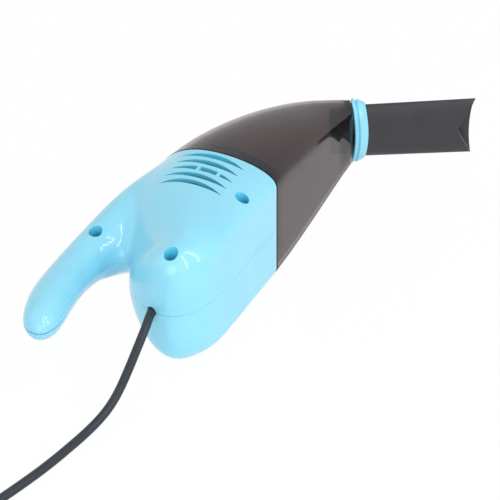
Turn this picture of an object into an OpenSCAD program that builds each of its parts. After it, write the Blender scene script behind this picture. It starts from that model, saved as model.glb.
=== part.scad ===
// Hand-held vacuum for keyboards and desks, lying on its left side.
// Each shape is drawn in the body frame: X forward from the dust cup joint, Y up from the motor
// axis to the back, Z from the seam to the right. module placed() then sets it on the table.

/* [Body] */
// Length of the blue body, from the dust cup joint to the rear of the bulb
body_l = 70; // [67:1:74]
// Width across the two shells
body_w = 58; // [56:1:62]
// Height from the flat underside up to the motor axis
belly_h = 24; // [23:0.5:26]
// Height from the motor axis up to the back, at the joint
crown_h = 32; // [31:0.5:34]
// Width of the flat underside
flat_w = 40; // [36:1:44]
// Wall of the two shells
shell_wall = 1.8; // [1.5:0.1:2]
// Depth of the flat at each shell's widest line, on which the vacuum lies
rest_cut = 0.4; // [0.3:0.1:0.6]

/* [Handle] */
// Reach of the handle, from the joint back to its tip
handle_l = 101; // [97:1:105]
// Height of the handle's middle line above the motor axis
handle_h = 33.4; // [32:0.2:35]
// Thickness of the handle where it leaves the back
grip_t = 17.4; // [16.6:0.2:18.2]
// Width of the handle where it leaves the back
grip_w = 17; // [16:0.5:18]

/* [Dust cup] */
// Reach of the dust cup, from the joint to the middle of its mouth
cup_l = 80; // [77:1:83]
// Height of the middle of the mouth above the flat underside
mouth_rise = 4; // [3:0.5:5]
// Lean of the mouth's axis below the body's axis, in degrees
mouth_tilt = 59; // [57:1:61]
// Width of the mouth, side to side
mouth_w = 28; // [27:0.5:30]
// Thickness of the mouth, back to front
mouth_t = 12; // [11.5:0.5:13]
// Wall of the dust cup
cup_wall = 1.6; // [1.4:0.1:1.8]

/* [Nozzle] */
// Length of the nozzle in front of the collar
nozzle_l = 48; // [42:1:54]
// Width of the nozzle at the collar
nozzle_w = 25.4; // [24.5:0.1:26]
// Width of the nozzle at its tip
tip_w = 26.8; // [25.6:0.2:28]
// Thickness of the nozzle at the collar
nozzle_t = 8.6; // [8:0.1:9]
// Thickness of the nozzle at its tip
tip_t = 7; // [6:0.5:8]
// Wall of the nozzle
nozzle_wall = 1.2; // [1:0.1:1.4]
// Depth of the notch in the tip's rear wall
notch_depth = 6; // [4:0.5:8]
// Length of the collar
collar_l = 5.4; // [5:0.2:6]
// Depth to which the nozzle's root reaches into the dust cup
root_l = 9; // [8:0.5:10]

/* [Fan and motor] */
// Diameter of the motor's can
motor_d = 24.4; // [23:0.2:25]
// Length of the motor's can
motor_l = 28; // [26:0.5:28]
// Diameter of the motor's shaft
shaft_d = 2; // [2:0.5:3]
// Diameter of the fan wheel
fan_d = 38; // [34:1:40]
// Width of the fan wheel
fan_w = 5.6; // [5:0.2:6]
// Number of fan blades
blade_count = 9; // [7:1:11]

/* [Filter] */
// Outer diameter of the filter's frame
filter_d = 37; // [34:1:37]
// Depth of the filter's frame
filter_h = 5; // [4.5:0.5:6]
// Height to which the filter's cloth bulges into the dust cup
cloth_h = 9; // [7:1:11]

/* [Vents] */
// Number of vent slots in each shell
vent_count = 5; // [4:1:5]
// Distance from one slot to the next
vent_pitch = 4.9; // [4.6:0.1:5.1]
// Length of a slot from point to point
vent_l = 27; // [24:1:29]
// Width of a slot at its middle
vent_w = 2.3; // [1.8:0.1:2.6]

/* [Switch] */
// Travel of the switch's knob from off to on
switch_travel = 4; // [3:0.5:5]
// Length of the knob
knob_l = 12; // [11:0.5:12]
// Width of the knob
knob_w = 7; // [6:0.5:8]

/* [Screws] */
// Diameter of the screw recesses in the right shell
recess_d = 5.6; // [5.2:0.1:6]
// Diameter of the screws
screw_d = 2.6; // [2.2:0.2:3]

/* [Cord] */
// Diameter of the cord
cord_d = 3.5; // [3.5:0.1:3.5]
// Turns in one layer of the coil
coil_turns = 4; // [3:1:5]
// Width of the plug's moulded grip
plug_w = 14; // [13:1:16]

/* [Hidden] */
$fn = 48;

// Overrun of every cut, and the usual clearance between pieces that don't slide
over = 1;
gap = 0.2;
// Clearance of pieces that slide past each other
slide_gap = 0.3;

// Rows of an outline are read through with a smooth curve, in these numbers of steps
low_steps = 8;
top_steps = 10;
body_steps = 16;
cup_steps = 12;
cup_inner_share = 0.95;
grip_steps = 22;
grip_sides = 14;
web_steps = 12;
lens_steps = 12;
nudge = 0.01;

// Middle of the mouth, and the direction across its thickness
mouth_x = cup_l;
mouth_y = mouth_rise - belly_h;
mouth_up = [sin(mouth_tilt), cos(mouth_tilt)];
mouth_flat_share = 0.8;

// The origin lies under the motor axis, this share of the body's length behind the joint
origin_share = 0.4;
joint_x = body_l * origin_share;
seam_z = body_w / 2 - rest_cut;

// Height of the widest line, as a share of the height from underside to back
wide_share = belly_h / (belly_h + crown_h);
mouth_wide_share = 0.5;
// How much of a wall the flat of an inner section loses
flat_in_share = 0.6;
// How much more of the wall the back loses where it slopes steeply, at the rear
rear_wall_share = 2;

// The gap between the body and the dust cup, and the rubber seal in it
joint_gap = 0.6;
seal_t = 0.4;
seal_in = 0.5;

// The bulkhead that closes the body: its plate, its spigot inside the dust cup and its filter seat
bulkhead_x = -1.4;
bulkhead_t = 2;
spigot_in = shell_wall + gap;
spigot_wall = 1.4;
spigot_row = 0.5;
spigot_l = 7;
seat_wall = 1;
seat_l = 3.6;
intake_d = 24;
guard_bar = 1.6;

// The filter's frame, its spokes and tab, and its cloth
frame_wall = 1.8;
spoke_w = 1.6;
spoke_t = 1.2;
tab_l = 9;
tab_w = 5;
cloth_t = 0.6;
cloth_sides = 96;

// The fan wheel: plate, hub and blades, and the gap in front of it
fan_gap = 1;
fan_plate_t = 1;
hub_d = 8;
blade_t = 1;
blade_root_r = 6;
blade_sweep = 42;
blade_steps = 6;
blade_curl = 1.3;
fan_front = bulkhead_x - bulkhead_t - fan_gap;
fan_back = fan_front - fan_w;

// The plate that carries the motor
mount_t = 1.6;
mount_front = fan_back - fan_gap;
mount_back = mount_front - mount_t;
window_d = 9;
window_r = 18.4;
window_angles = [25, 65, 115, 155, 205, 335];

// The motor, from front to rear
can_wall = 1;
bush_d = 6;
bush_l = 3.6;
run_gap = 0.05;
magnet_t = 1.8;
magnet_gap = 2;
magnet_arc = 120;
air_gap = 0.5;
core_slot = 2.4;
core_arms = 3;
slot_share = 0.55;
core_back = 6;
comm_d = 6.4;
comm_l = 5;
comm_gap = 1;
turn_gap = 0.3;
cap_t = 2;
cap_l = 3;
cap_boss_d = 8;
rear_bush_d = 5;
brush_t = 0.5;
brush_w = 2.4;
brush_l = 5.5;
terminal_w = 2.6;
terminal_t = 0.6;
terminal_l = 4.4;
terminal_r = 7.4;
core_l = motor_l - core_back - comm_gap - comm_l - turn_gap;
magnet_l = motor_l - core_back / 2 - cap_l - magnet_gap;
can_front = mount_back;
can_back = can_front - motor_l;
shaft_front = fan_front + gap;
shaft_back = can_back - cap_t - cap_l;

// The shells' rib that holds the motor's rear end, and their lining under bosses and ribs
rib_t = 1.6;
rib_in = 6;
rib_over = 1.5;
rib_x = can_back + rib_in;
rib_top = motor_d / 2 + rib_over;
lining = 0.9;

// The three screws: places as shares of body_l and of belly_h, or of handle_l and handle_h
front_screw = [-0.281 * body_l, -0.783 * belly_h];
rear_screw = [-0.9 * body_l, -0.461 * belly_h];
grip_screw = [-0.458 * handle_l, 0.958 * handle_h];
screw_places = [front_screw, rear_screw, grip_screw];
head_z = 5;
head_d = 4.8;
head_t = 1.8;
screw_l = 12;
boss_wall = 0.9;

// The vents: height of their middle above the motor axis, the first slot's place, the bow of their
// front edge, and the bars across the middle slot
vent_y = 1.5;
vent_x = -5.2;
vent_bow = 3.4;
vent_steps = 8;
vent_bar = 1.4;
vent_bar_y = [1.5, -7.5];
vent_depth = 14;

// The switch's pad and slot in the back, and the switch under it
pad_row = 1.62;
pad_span = 0.5;
pad_l = 22;
pad_w = 10.4;
pad_depth = 1.3;
pad_wall = 1.8;
pad_rim = 2;
stem_l = 3;
stem_w = 2.4;
stem_reach = 1.4;
knob_h = 2;
ridge_h = 0.6;
ridge_t = 0.8;
ridge_count = 4;
switch_l = 13;
switch_w = 6;
switch_h = 5;
pin_l = 2.4;
pin_w = 1.2;
pin_pitch = 4;

// The cord's way out of the body: place, direction, and the stop inside
exit_place = [-0.998 * body_l, -0.229 * belly_h];
exit_turn = 193.8;
stop_d = 6.8;
stop_l = 3;
stop_in = 9.6;
entry_l = 14;
saddle_t = 1.6;
saddle_reach = 1.2;
cord_r = cord_d / 2;
cord_gap = 0.15;
// Gap by which each of the cord's solids stops short of the next one
end_gap = 0.2;

// The leads inside: diameter, the gap at their ends, and half the distance between two side by side
wire_d = 1.5;
wire_sides = 6;
lead_gap = 0.2;
lead_side = 0.85;
lead_out = 1.2;
// Points of the leads, counted from the cord's inner end, from a pin of the switch or from a terminal
feed_low = [[3.26, 2.96, 1.4], [6.26, 6.76, 1.7], [8.46, 11.16, 1.7]];
feed_high = [[-13.76, -16.45, 1.7], [-8.96, -13.85, 1.7], [-5.36, -10.85, 1.6], [-2.76, -7.05, 1],
    [-0.96, -3.45, 0.3], [0, 0, 0]];
return_low = [[3.26, -2.04, -1.1]];
return_high = [[-4.8, 1.2, -0.6], [-2.4, 0.05, 0], [0, 0, 0]];
motor_high = [[0, 0, 0], [-0.68, -3.26, 0], [-2.88, -7.06, -0.8], [-6.88, -10.86, -1.6]];
motor_low = [[6.2, 8.1, -1.8], [2.2, 6.8, -1.8], [-0.6, 4.9, -1.4], [-2.3, 3, -0.7], [-2.5, 1.2, -0.3],
    [-1.8, 0.2, 0], [-0.8, 0, 0], [0, 0, 0]];

// The nozzle's root and its seal, and the collar's flange, groove and band
root_w = 22;
root_t = 6.6;
seal_proud = 0.7;
seal_start = 3.6;
seal_l = 2.2;
slot_proud = seal_proud + gap;
collar_gap = 0.3;
flange_w = 31;
flange_t = 14.6;
flange_l = 1;
groove_in = 0.8;
groove_l = 0.7;
band_w = 30.4;
band_t = 14;
rim_w = 27.4;
rim_t = 10.6;
tip_bow = 1.6;
bow_steps = 8;

// The route of the free cord: x and y from its exit, its height above the table as a share of the exit's,
// and as a share of the coil's
cord_rows = [[0, 0, 1, 0], [-3.4, -0.8, 0.985, 0], [-7.3, -1.4, 0.925, 0], [-11.1, -1.5, 0.828, 0],
    [-14.7, -1.3, 0.709, 0], [-18.1, -0.9, 0.575, 0], [-21.5, -0.4, 0.44, 0], [-25.1, 0.1, 0.313, 0],
    [-29.1, 0.7, 0.201, 0], [-33.9, 1.5, 0.112, 0], [-39.5, 2.6, 0.049, 0], [-46.1, 3.9, 0.011, 0],
    [-53.7, 5.2, 0, 0], [-61.7, 6.5, 0, 0], [-69.7, 8.1, 0, 0], [-77.9, 10.1, 0, 0],
    [-86.1, 12.3, 0, 0], [-93.7, 14.3, 0, 0.09], [-100.7, 16, 0, 0.26], [-107.5, 17.2, 0, 0.52],
    [-114.5, 18.3, 0, 0.87]];
lay_gap = 0.05;
cord_sides = 8;
tie_t = 1;
tie_w = 4;
tie_turn = 165;
coil_from_exit = [-128.9, -6.3];
coil_turn = 82;
coil_space = 0.6;
coil_pitch = cord_d + coil_space;
coil_mid_r = 19;
coil_sides = 6;
coil_rings = 24;
half_turns = coil_turns - 0.5;
coil_out_r = coil_mid_r + coil_pitch * half_turns / 2;
coil_in_r = coil_mid_r - coil_pitch * half_turns / 2;
coil_dip = coil_pitch / (2 * PI);
coil_low_z = tie_t + gap + cord_r;
cord_exit = [joint_x + exit_place[0], exit_place[1]];
coil_place = cord_exit + coil_from_exit;

// The plug, and the last of the cord before it
plug_h = 7.6;
plug_l = 21;
plug_round = 2.4;
plug_neck_d = 5;
plug_neck_l = 5;
usb_w = 12;
usb_h = 4.5;
usb_l = 13;
usb_wall = 0.4;
tongue_h = 1.8;
contact_w = 1;
contact_t = 0.3;
contact_l = 8;
contact_count = 4;
contact_pitch = 2.2;
plug_lift = 0.05;
end_run = 9;
end_places = [0, 0.1, 0.25, 0.5, 0.75, 0.9, 1];

// Stations of the body from the joint to the rear: underside x and y, back x and y, half width and
// half flat, as shares of body_l, belly_h, body_l, crown_h, body_w / 2 and flat_w / 2, how square
// the back is, where 2 is an ellipse, and the height of the widest line, as a share of wide_share
body_shares = [
    [0, -1, 0, 1, 1, 1, 2.3, 1],
    [-0.25, -1, -0.21, 1, 1, 1, 2.3, 1],
    [-0.5, -1, -0.4, 0.92, 1, 1, 1.9, 0.91],
    [-0.7, -0.98, -0.55, 0.72, 0.99, 0.98, 1.5, 0.72],
    [-0.84, -0.9, -0.705, 0.485, 0.93, 0.82, 1.5, 0.6],
    [-0.94, -0.74, -0.872, 0.275, 0.83, 0.64, 1.9, 0.6],
    [-0.99, -0.55, -0.967, -0.02, 0.61, 0.42, 2.2, 0.7],
    [-1, -0.34, -1, -0.26, 0, 0, 2.3, 0.7]];

// Stations of the handle from inside the body to its tip: middle line x and y, thickness and width,
// as shares of handle_l, handle_h, grip_t and grip_w
handle_shares = [
    [-0.08, 0.51, 1.9, 2.9],
    [-0.2, 0.72, 1.6, 2.4],
    [-0.34, 0.87, 1.36, 1.8],
    [-0.475, 0.98, 1.08, 1.24],
    [-0.6, 1.01, 0.98, 1.02],
    [-0.7, 1, 0.97, 0.97],
    [-0.79, 0.965, 0.98, 0.97],
    [-0.87, 0.905, 0.93, 0.93],
    [-0.935, 0.845, 0.78, 0.8],
    [-0.98, 0.8, 0.46, 0.48],
    [-1, 0.785, 0, 0]];

// Stations of the web that rounds the end of the arch between handle and bulb: height, rear end,
// front end and half width, as shares of handle_h, handle_l, handle_l and grip_w
web_shares = [
    [0.12, -0.55, -0.2, 1.1],
    [0.27, -0.505, -0.2, 0.8],
    [0.39, -0.475, -0.2, 0.62],
    [0.5, -0.463, -0.2, 0.56],
    [0.61, -0.47, -0.2, 0.56],
    [0.71, -0.505, -0.2, 0.62],
    [0.81, -0.57, -0.2, 0.6]];

// Stations of the dust cup from the joint to the mouth: how far the underside's x and y, the back's
// x and y, the half width and the half flat have gone from the joint's values to the mouth's
cup_shares = [
    [0, 0, 0, 0, 0, 0],
    [0.2, 0.2, 0.172, 0.056, 0.04, 0.12],
    [0.4, 0.4, 0.375, 0.172, 0.16, 0.32],
    [0.6, 0.6, 0.6, 0.355, 0.37, 0.55],
    [0.8, 0.8, 0.82, 0.62, 0.67, 0.78],
    [1, 1, 1, 1, 1, 1]];

function unit(v) = v / norm(v);
function lerp(a, b, t) = a + (b - a) * t;

// A smooth curve through the rows of a list, at a place counted in rows
function through(list, u) =
    let(n = len(list) - 1, i = min(floor(u), n - 1), t = u - i,
        a = list[max(i - 1, 0)], b = list[i], c = list[i + 1], d = list[min(i + 2, n)])
    0.5 * (2 * b + (c - a) * t + (2 * a - 5 * b + 4 * c - d) * t * t
        + (3 * b - a - 3 * c + d) * t * t * t);

// A row of real sizes: underside x and y, back x and y, half width, half flat
function body_row(u) =
    let(s = through(body_shares, u))
    [s[0] * body_l, s[1] * belly_h, s[2] * body_l, s[3] * crown_h, s[4] * body_w / 2, s[5] * flat_w / 2,
        s[6], s[7] * wide_share];
function cup_row(u) =
    let(s = through(cup_shares, u), a = body_row(0) + [joint_gap, 0, joint_gap, 0, 0, 0, 0, 0],
        m = mouth_up * mouth_t / 2,
        b = [mouth_x - m[0], mouth_y - m[1], mouth_x + m[0], mouth_y + m[1],
            mouth_w / 2, mouth_w / 2 * mouth_flat_share])
    concat([for (k = [0 : 5]) lerp(a[k], b[k], s[k])], [a[6], a[7]]);

// The same row drawn in by a wall, and a ring moved along X
function drawn_in(r, wall, back = 1) =
    let(up = unit([r[2] - r[0], r[3] - r[1]]))
    [r[0] + wall * up[0], r[1] + wall * up[1], r[2] - wall * back * up[0], r[3] - wall * back * up[1],
        r[4] - wall, r[5] - wall * flat_in_share, r[6], r[7]];
function moved(ring, dx) = [for (p = ring) p + [dx, 0, 0]];

// Half a cross section, from the underside's middle to the back's middle
function half_section(r, widest) =
    let(wide = is_undef(widest) ? r[7] : widest, low = [r[0], r[1], 0],
        rise = [r[2] - r[0], r[3] - r[1], 0], w = r[4], flat = r[5])
    concat(
        [low],
        [for (k = [0 : low_steps]) let(a = 90 * k / low_steps)
            low + rise * wide * (1 - cos(a)) + [0, 0, flat + (w - flat) * sin(a)]],
        [for (k = [1 : top_steps]) let(a = 90 * k / top_steps)
            low + rise * (wide + (1 - wide) * pow(sin(a), 2 / r[6]))
                + [0, 0, w * pow(max(cos(a), 0), 2 / r[6])]]);

// A closed ring of the right half, with a skirt below the seam, and a closed ring of both halves
function half_ring(pts, skirt) =
    let(n = len(pts) - 1)
    concat([[pts[0][0], pts[0][1], -skirt]], pts, [[pts[n][0], pts[n][1], -skirt]]);
function full_ring(pts) =
    concat(pts, [for (k = [len(pts) - 2 : -1 : 1]) [pts[k][0], pts[k][1], -pts[k][2]]]);

// A ring of the handle's right half
function grip_frame(u) =
    let(s = through(handle_shares, u),
        q = through(handle_shares, u + nudge), o = through(handle_shares, max(u - nudge, 0)),
        t = unit([(q[0] - o[0]) * handle_l, (q[1] - o[1]) * handle_h]))
    [[s[0] * handle_l, s[1] * handle_h], [t[1], -t[0]], s[2] * grip_t / 2, s[3] * grip_w / 2];
function grip_ring(u, wall, skirt) =
    let(f = grip_frame(u), p = f[0], up = f[1], a = f[2] - wall, b = f[3] - wall)
    half_ring([for (k = [0 : grip_sides]) let(g = 180 * k / grip_sides)
        [p[0] - up[0] * a * cos(g), p[1] - up[1] * a * cos(g), b * sin(g)]], skirt);

function web_ring(u, wall, skirt) =
    let(s = through(web_shares, u), rear = s[1] * handle_l + wall, front = s[2] * handle_l,
        mid = (rear + front) / 2, w = s[3] * grip_w - wall)
    half_ring([for (k = [0 : grip_sides]) let(g = 180 * k / grip_sides)
        [mid - (front - mid) * cos(g), s[0] * handle_h, w * sin(g)]], skirt);

// A lens outline, thickness along the first axis and width along the second
function lens(t, w) =
    [for (k = [0 : 2 * lens_steps - 1]) let(g = 180 * k / lens_steps) [t / 2 * cos(g), w / 2 * sin(g)]];
function stood(outline, x) = [for (p = outline) [x, p[0], p[1]]];

// Rings of a tube along points
function tube_rings(pts, r, sides) =
    let(n = len(pts) - 1)
    [for (i = [0 : n]) let(t = unit(pts[min(i + 1, n)] - pts[max(i - 1, 0)]),
            side = unit(cross(t, [0, 0, 1])), up = cross(side, t))
        [for (j = [0 : sides - 1]) let(g = 360 * j / sides) pts[i] + r * (side * cos(g) + up * sin(g))]];

// The same points, with both ends drawn back
function drawn_back(pts) =
    let(n = len(pts) - 1)
    concat([pts[0] + unit(pts[1] - pts[0]) * end_gap], [for (k = [1 : n - 1]) pts[k]],
        [pts[n] + unit(pts[n - 1] - pts[n]) * end_gap]);

// A form that is used as one mesh
module as_mesh() {
    resize([0, 0, 0]) children();
}

// A solid skin over rings of equal length, which ends in a flat face or in a tip
module loft(rings, tip = undef, flip = false) {
    n = len(rings);
    m = len(rings[0]);
    walls = [for (i = [0 : n - 2], j = [0 : m - 1])
        let(a = i * m + j, b = i * m + (j + 1) % m) each [[a, b + m, b], [a, a + m, b + m]]];
    start = [[for (j = [0 : m - 1]) j]];
    finish = is_undef(tip)
        ? [[for (j = [m - 1 : -1 : 0]) (n - 1) * m + j]]
        : [for (j = [0 : m - 1]) [(n - 1) * m + (j + 1) % m, (n - 1) * m + j, n * m]];
    faces = concat(start, walls, finish);
    polyhedron(
        concat([for (r = rings) each r], is_undef(tip) ? [] : [tip]),
        flip ? [for (f = faces) [for (k = [len(f) - 1 : -1 : 0]) f[k]]] : faces);
}

// Frames of reference: the body on the table, the mouth, the switch, the cord's exit and the coil
module placed() {
    translate([joint_x, 0, seam_z]) children();
}
module at_mouth() {
    placed() translate([mouth_x, mouth_y, 0]) rotate([0, 0, -mouth_tilt]) children();
}
function grip_top(u) = let(f = grip_frame(u)) f[0] + f[1] * f[2];
pad_place = grip_top(pad_row);
pad_run = grip_top(pad_row - pad_span) - grip_top(pad_row + pad_span);
pad_lean = -atan2(pad_run[1], pad_run[0]);
module at_switch() {
    translate([pad_place[0], pad_place[1], 0]) rotate([0, 0, -pad_lean]) children();
}
module at_exit() {
    translate([exit_place[0], exit_place[1], 0]) rotate([0, 0, exit_turn]) children();
}

// A cylinder along X from one place to another, a block in the middle of Z, and an extruded outline
module bar_x(x0, x1, d) {
    translate([min(x0, x1), 0, 0]) rotate([0, 90, 0]) cylinder(d = d, h = abs(x1 - x0));
}
module block(x, y, z) {
    translate([-x / 2, 0, -z / 2]) cube([x, y, z]);
}
module prism_x(outline, x0, x1) {
    translate([min(x0, x1), 0, 0]) rotate([90, 0, 90]) linear_extrude(abs(x1 - x0)) polygon(outline);
}
function flat_outline(ring) = [for (p = ring) [p[1], p[2]]];

// Half of the body and half of the handle: the outer form when wall is 0, the hollow when it isn't
module body_half(wall, skirt, front = 0) {
    last = len(body_shares) - 1;
    steps = wall > 0 ? body_steps - 2 : body_steps - 1;
    rings = [for (k = [0 : steps])
        half_ring(half_section(drawn_in(body_row(last * k / body_steps), wall,
            lerp(1, rear_wall_share, k / body_steps))), skirt)];
    tip = body_row(last);
    if (front > 0) loft(concat([moved(rings[0], front)], rings));
    else if (wall > 0) loft(rings);
    else loft(rings, [tip[0], tip[1], 0]);
}
module handle_half(wall, skirt) {
    last = len(handle_shares) - 1;
    steps = wall > 0 ? grip_steps - 3 : grip_steps - 1;
    tip = through(handle_shares, last);
    rings = [for (k = [0 : steps]) grip_ring(last * k / grip_steps, wall, skirt)];
    if (wall > 0) loft(rings);
    else loft(rings, [tip[0] * handle_l, tip[1] * handle_h, 0]);
}
module web_half(wall, skirt) {
    last = len(web_shares) - 1;
    loft([for (k = [0 : web_steps]) web_ring(last * k / web_steps, wall, skirt)]);
}
// Each loft has a skirt of its own depth, so that none of their lower faces meet
skirts = [1, 1.5, 2, 2.5, 0.5, 0.7, 1.2, 2.2, 0.6];
module outer_half() {
    body_half(0, skirts[0]);
    handle_half(0, skirts[1]);
    web_half(0, skirts[6]);
}
module hollow_half() {
    body_half(shell_wall, skirts[2], over);
    handle_half(shell_wall, skirts[3]);
    web_half(shell_wall, skirts[7]);
}
module lining_half() {
    body_half(lining, skirts[4]);
    handle_half(lining, skirts[5]);
    web_half(lining, skirts[8]);
}

// Bosses, ribs and the switch's pad, before they are trimmed to the shell's form
module inner_parts(right) {
    for (p = screw_places) translate([p[0], p[1], 0])
        cylinder(d = right ? recess_d + 2 * boss_wall : head_d + 2 * boss_wall, h = body_w);
    translate([rib_x - rib_t, -belly_h, 0]) cube([rib_t, belly_h + rib_top, body_w]);
    at_switch() translate([0, -pad_depth - pad_wall, 0])
        block(pad_l + 2 * pad_rim, pad_wall, pad_w + 2 * pad_rim);
    at_exit() translate([-stop_in + stop_l / 2 + gap, -stop_d / 2, 0])
        cube([saddle_t, stop_d + saddle_reach, stop_d]);
}

// One crescent vent slot, seen along Z
module crescent() {
    front = [for (k = [0 : vent_steps]) let(t = 2 * k / vent_steps - 1)
        [vent_bow * (1 - t * t), t * vent_l / 2]];
    rear = [for (k = [vent_steps - 1 : -1 : 1]) let(t = 2 * k / vent_steps - 1)
        [(vent_bow - vent_w) * (1 - t * t), t * vent_l / 2]];
    polygon(concat(front, rear));
}
module vents() {
    middle = floor(vent_count / 2);
    for (k = [0 : vent_count - 1]) difference() {
        translate([vent_x - k * vent_pitch, vent_y, body_w / 2 - vent_depth])
            linear_extrude(vent_depth + over) crescent();
        if (k == middle) for (y = vent_bar_y)
            translate([vent_x - k * vent_pitch - vent_bow, vent_y + y, 0])
                cube([2 * vent_bow, vent_bar, body_w]);
    }
}

// Openings of the shells that nothing round passes through
module shell_cuts() {
    size = body_l + handle_l;
    vents();
    at_switch() translate([0, -pad_depth, 0]) {
        block(pad_l - pad_w, pad_depth + over, pad_w);
        for (x = [-1, 1] * (pad_l - pad_w) / 2) translate([x, 0, 0])
            rotate([-90, 0, 0]) cylinder(d = pad_w, h = pad_depth + over);
        translate([0, -pad_wall - over, 0])
            block(stem_l + switch_travel + 2 * slide_gap, pad_wall + 2 * over, stem_w + 2 * slide_gap);
    }
    translate([-size, -size, -size]) cube([2 * size, 2 * size, size]);
}

// The shell's form, then its bores; the left one is cut flat where it rests
module shell(right) {
    difference() {
        as_mesh() difference() {
            union() {
                difference() {
                    outer_half();
                    hollow_half();
                }
                intersection() {
                    inner_parts(right);
                    lining_half();
                }
            }
            shell_cuts();
        }
        at_exit() bar_x(-stop_in, entry_l, cord_d + 2 * cord_gap);
        bar_x(rib_x - rib_t - over, rib_x + over, motor_d + 2 * gap);
        for (p = screw_places) translate([p[0], p[1], 0]) {
            translate([0, 0, -over]) cylinder(d = screw_d + 2 * gap, h = screw_l);
            if (right) translate([0, 0, head_z]) cylinder(d = recess_d, h = body_w);
        }
        if (!right) translate([-body_l, -belly_h, body_w / 2 - rest_cut])
            cube([body_l + over, belly_h + crown_h, body_w]);
    }
}

module right_shell() {
    color("skyblue") placed() shell(true);
}
module left_shell() {
    color("skyblue") placed() mirror([0, 0, 1]) shell(false);
}

module body_screws() {
    color("silver") placed() for (p = screw_places) translate([p[0], p[1], head_z]) {
        cylinder(d = head_d, h = head_t);
        translate([0, 0, -screw_l + head_t]) cylinder(d = screw_d, h = screw_l - head_t);
    }
}

// The spigot's outline fits the dust cup where it ends
function spigot_outline(wall) =
    flat_outline(full_ring(half_section(drawn_in(cup_row(spigot_row), spigot_in + wall))));

module front_bulkhead() {
    plate_back = bulkhead_x - bulkhead_t;
    seat_d = filter_d + 2 * slide_gap;
    color("skyblue") placed() {
        difference() {
            prism_x(flat_outline(full_ring(half_section(drawn_in(body_row(0), spigot_in)))),
                plate_back, bulkhead_x);
            difference() {
                bar_x(plate_back - over, bulkhead_x + over, intake_d);
                for (g = [0, 90]) rotate([g, 0, 0]) translate([plate_back + bulkhead_t / 2, -intake_d, 0])
                    block(bulkhead_t + 2 * over, 2 * intake_d, guard_bar);
            }
        }
        difference() {
            prism_x(spigot_outline(0), bulkhead_x - gap, spigot_l);
            prism_x(spigot_outline(spigot_wall), bulkhead_x - over, spigot_l + over);
        }
        difference() {
            bar_x(bulkhead_x - gap, bulkhead_x + seat_l, seat_d + 2 * seat_wall);
            bar_x(bulkhead_x - over, bulkhead_x + seat_l + over, seat_d);
        }
    }
}

module cup_seal() {
    color([0.1, 0.1, 0.11]) placed() translate([(joint_gap - seal_t) / 2, 0, 0]) difference() {
        prism_x(flat_outline(full_ring(half_section(drawn_in(body_row(0), seal_in)))), 0, seal_t);
        prism_x(flat_outline(full_ring(half_section(drawn_in(body_row(0), spigot_in - gap)))),
            -over, seal_t + over);
    }
}

// The slot for the nozzle's root, wide enough for its seal to slide through
root_slot = lens(root_t + 2 * slot_proud, root_w + 2 * slot_proud);
module cup_loft(wall, share, front = 0) {
    last = (len(cup_shares) - 1) * share;
    rings = [for (k = [0 : cup_steps]) full_ring(half_section(drawn_in(cup_row(last * k / cup_steps), wall),
        lerp(wide_share, mouth_wide_share, share * k / cup_steps)))];
    loft(front > 0 ? concat([moved(rings[0], -front)], rings) : rings, flip = true);
}
module dust_cup() {
    color([0.25, 0.22, 0.22, 0.7]) difference() {
        as_mesh() difference() {
            placed() cup_loft(0, 1);
            placed() cup_loft(cup_wall, cup_inner_share, over);
            at_mouth() prism_x(root_slot, -root_l, over);
        }
        translate([0, -belly_h, -body_w]) cube([2 * cup_l, belly_h + crown_h, body_w]);
    }
}

module filter_frame() {
    x0 = bulkhead_x + gap;
    x1 = x0 + filter_h;
    color([0.2, 0.2, 0.22]) placed() {
        difference() {
            bar_x(x0, x1, filter_d);
            bar_x(x0 - over, x1 + over, filter_d - 2 * frame_wall);
        }
        for (g = [0, 90]) rotate([g, 0, 0]) translate([x0 + spoke_t / 2, -filter_d / 2 + frame_wall / 2, 0])
            block(spoke_t, filter_d - frame_wall, spoke_w);
        translate([x1, filter_d / 2 - frame_wall, 0]) translate([tab_l / 2 - over, 0, 0])
            block(tab_l, frame_wall - gap, tab_w);
    }
}
module filter_cloth() {
    x0 = bulkhead_x + gap + spoke_t + gap;
    r = filter_d / 2 - frame_wall - gap;
    ball_r = (r * r + cloth_h * cloth_h) / (2 * cloth_h);
    color([0.3, 0.3, 0.32]) placed() intersection() {
        translate([x0 + cloth_h - ball_r, 0, 0]) difference() {
            sphere(r = ball_r, $fn = cloth_sides);
            sphere(r = ball_r - cloth_t, $fn = cloth_sides);
        }
        translate([x0, 0, 0]) bar_x(0, 2 * cloth_h, filter_d);
    }
}

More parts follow.
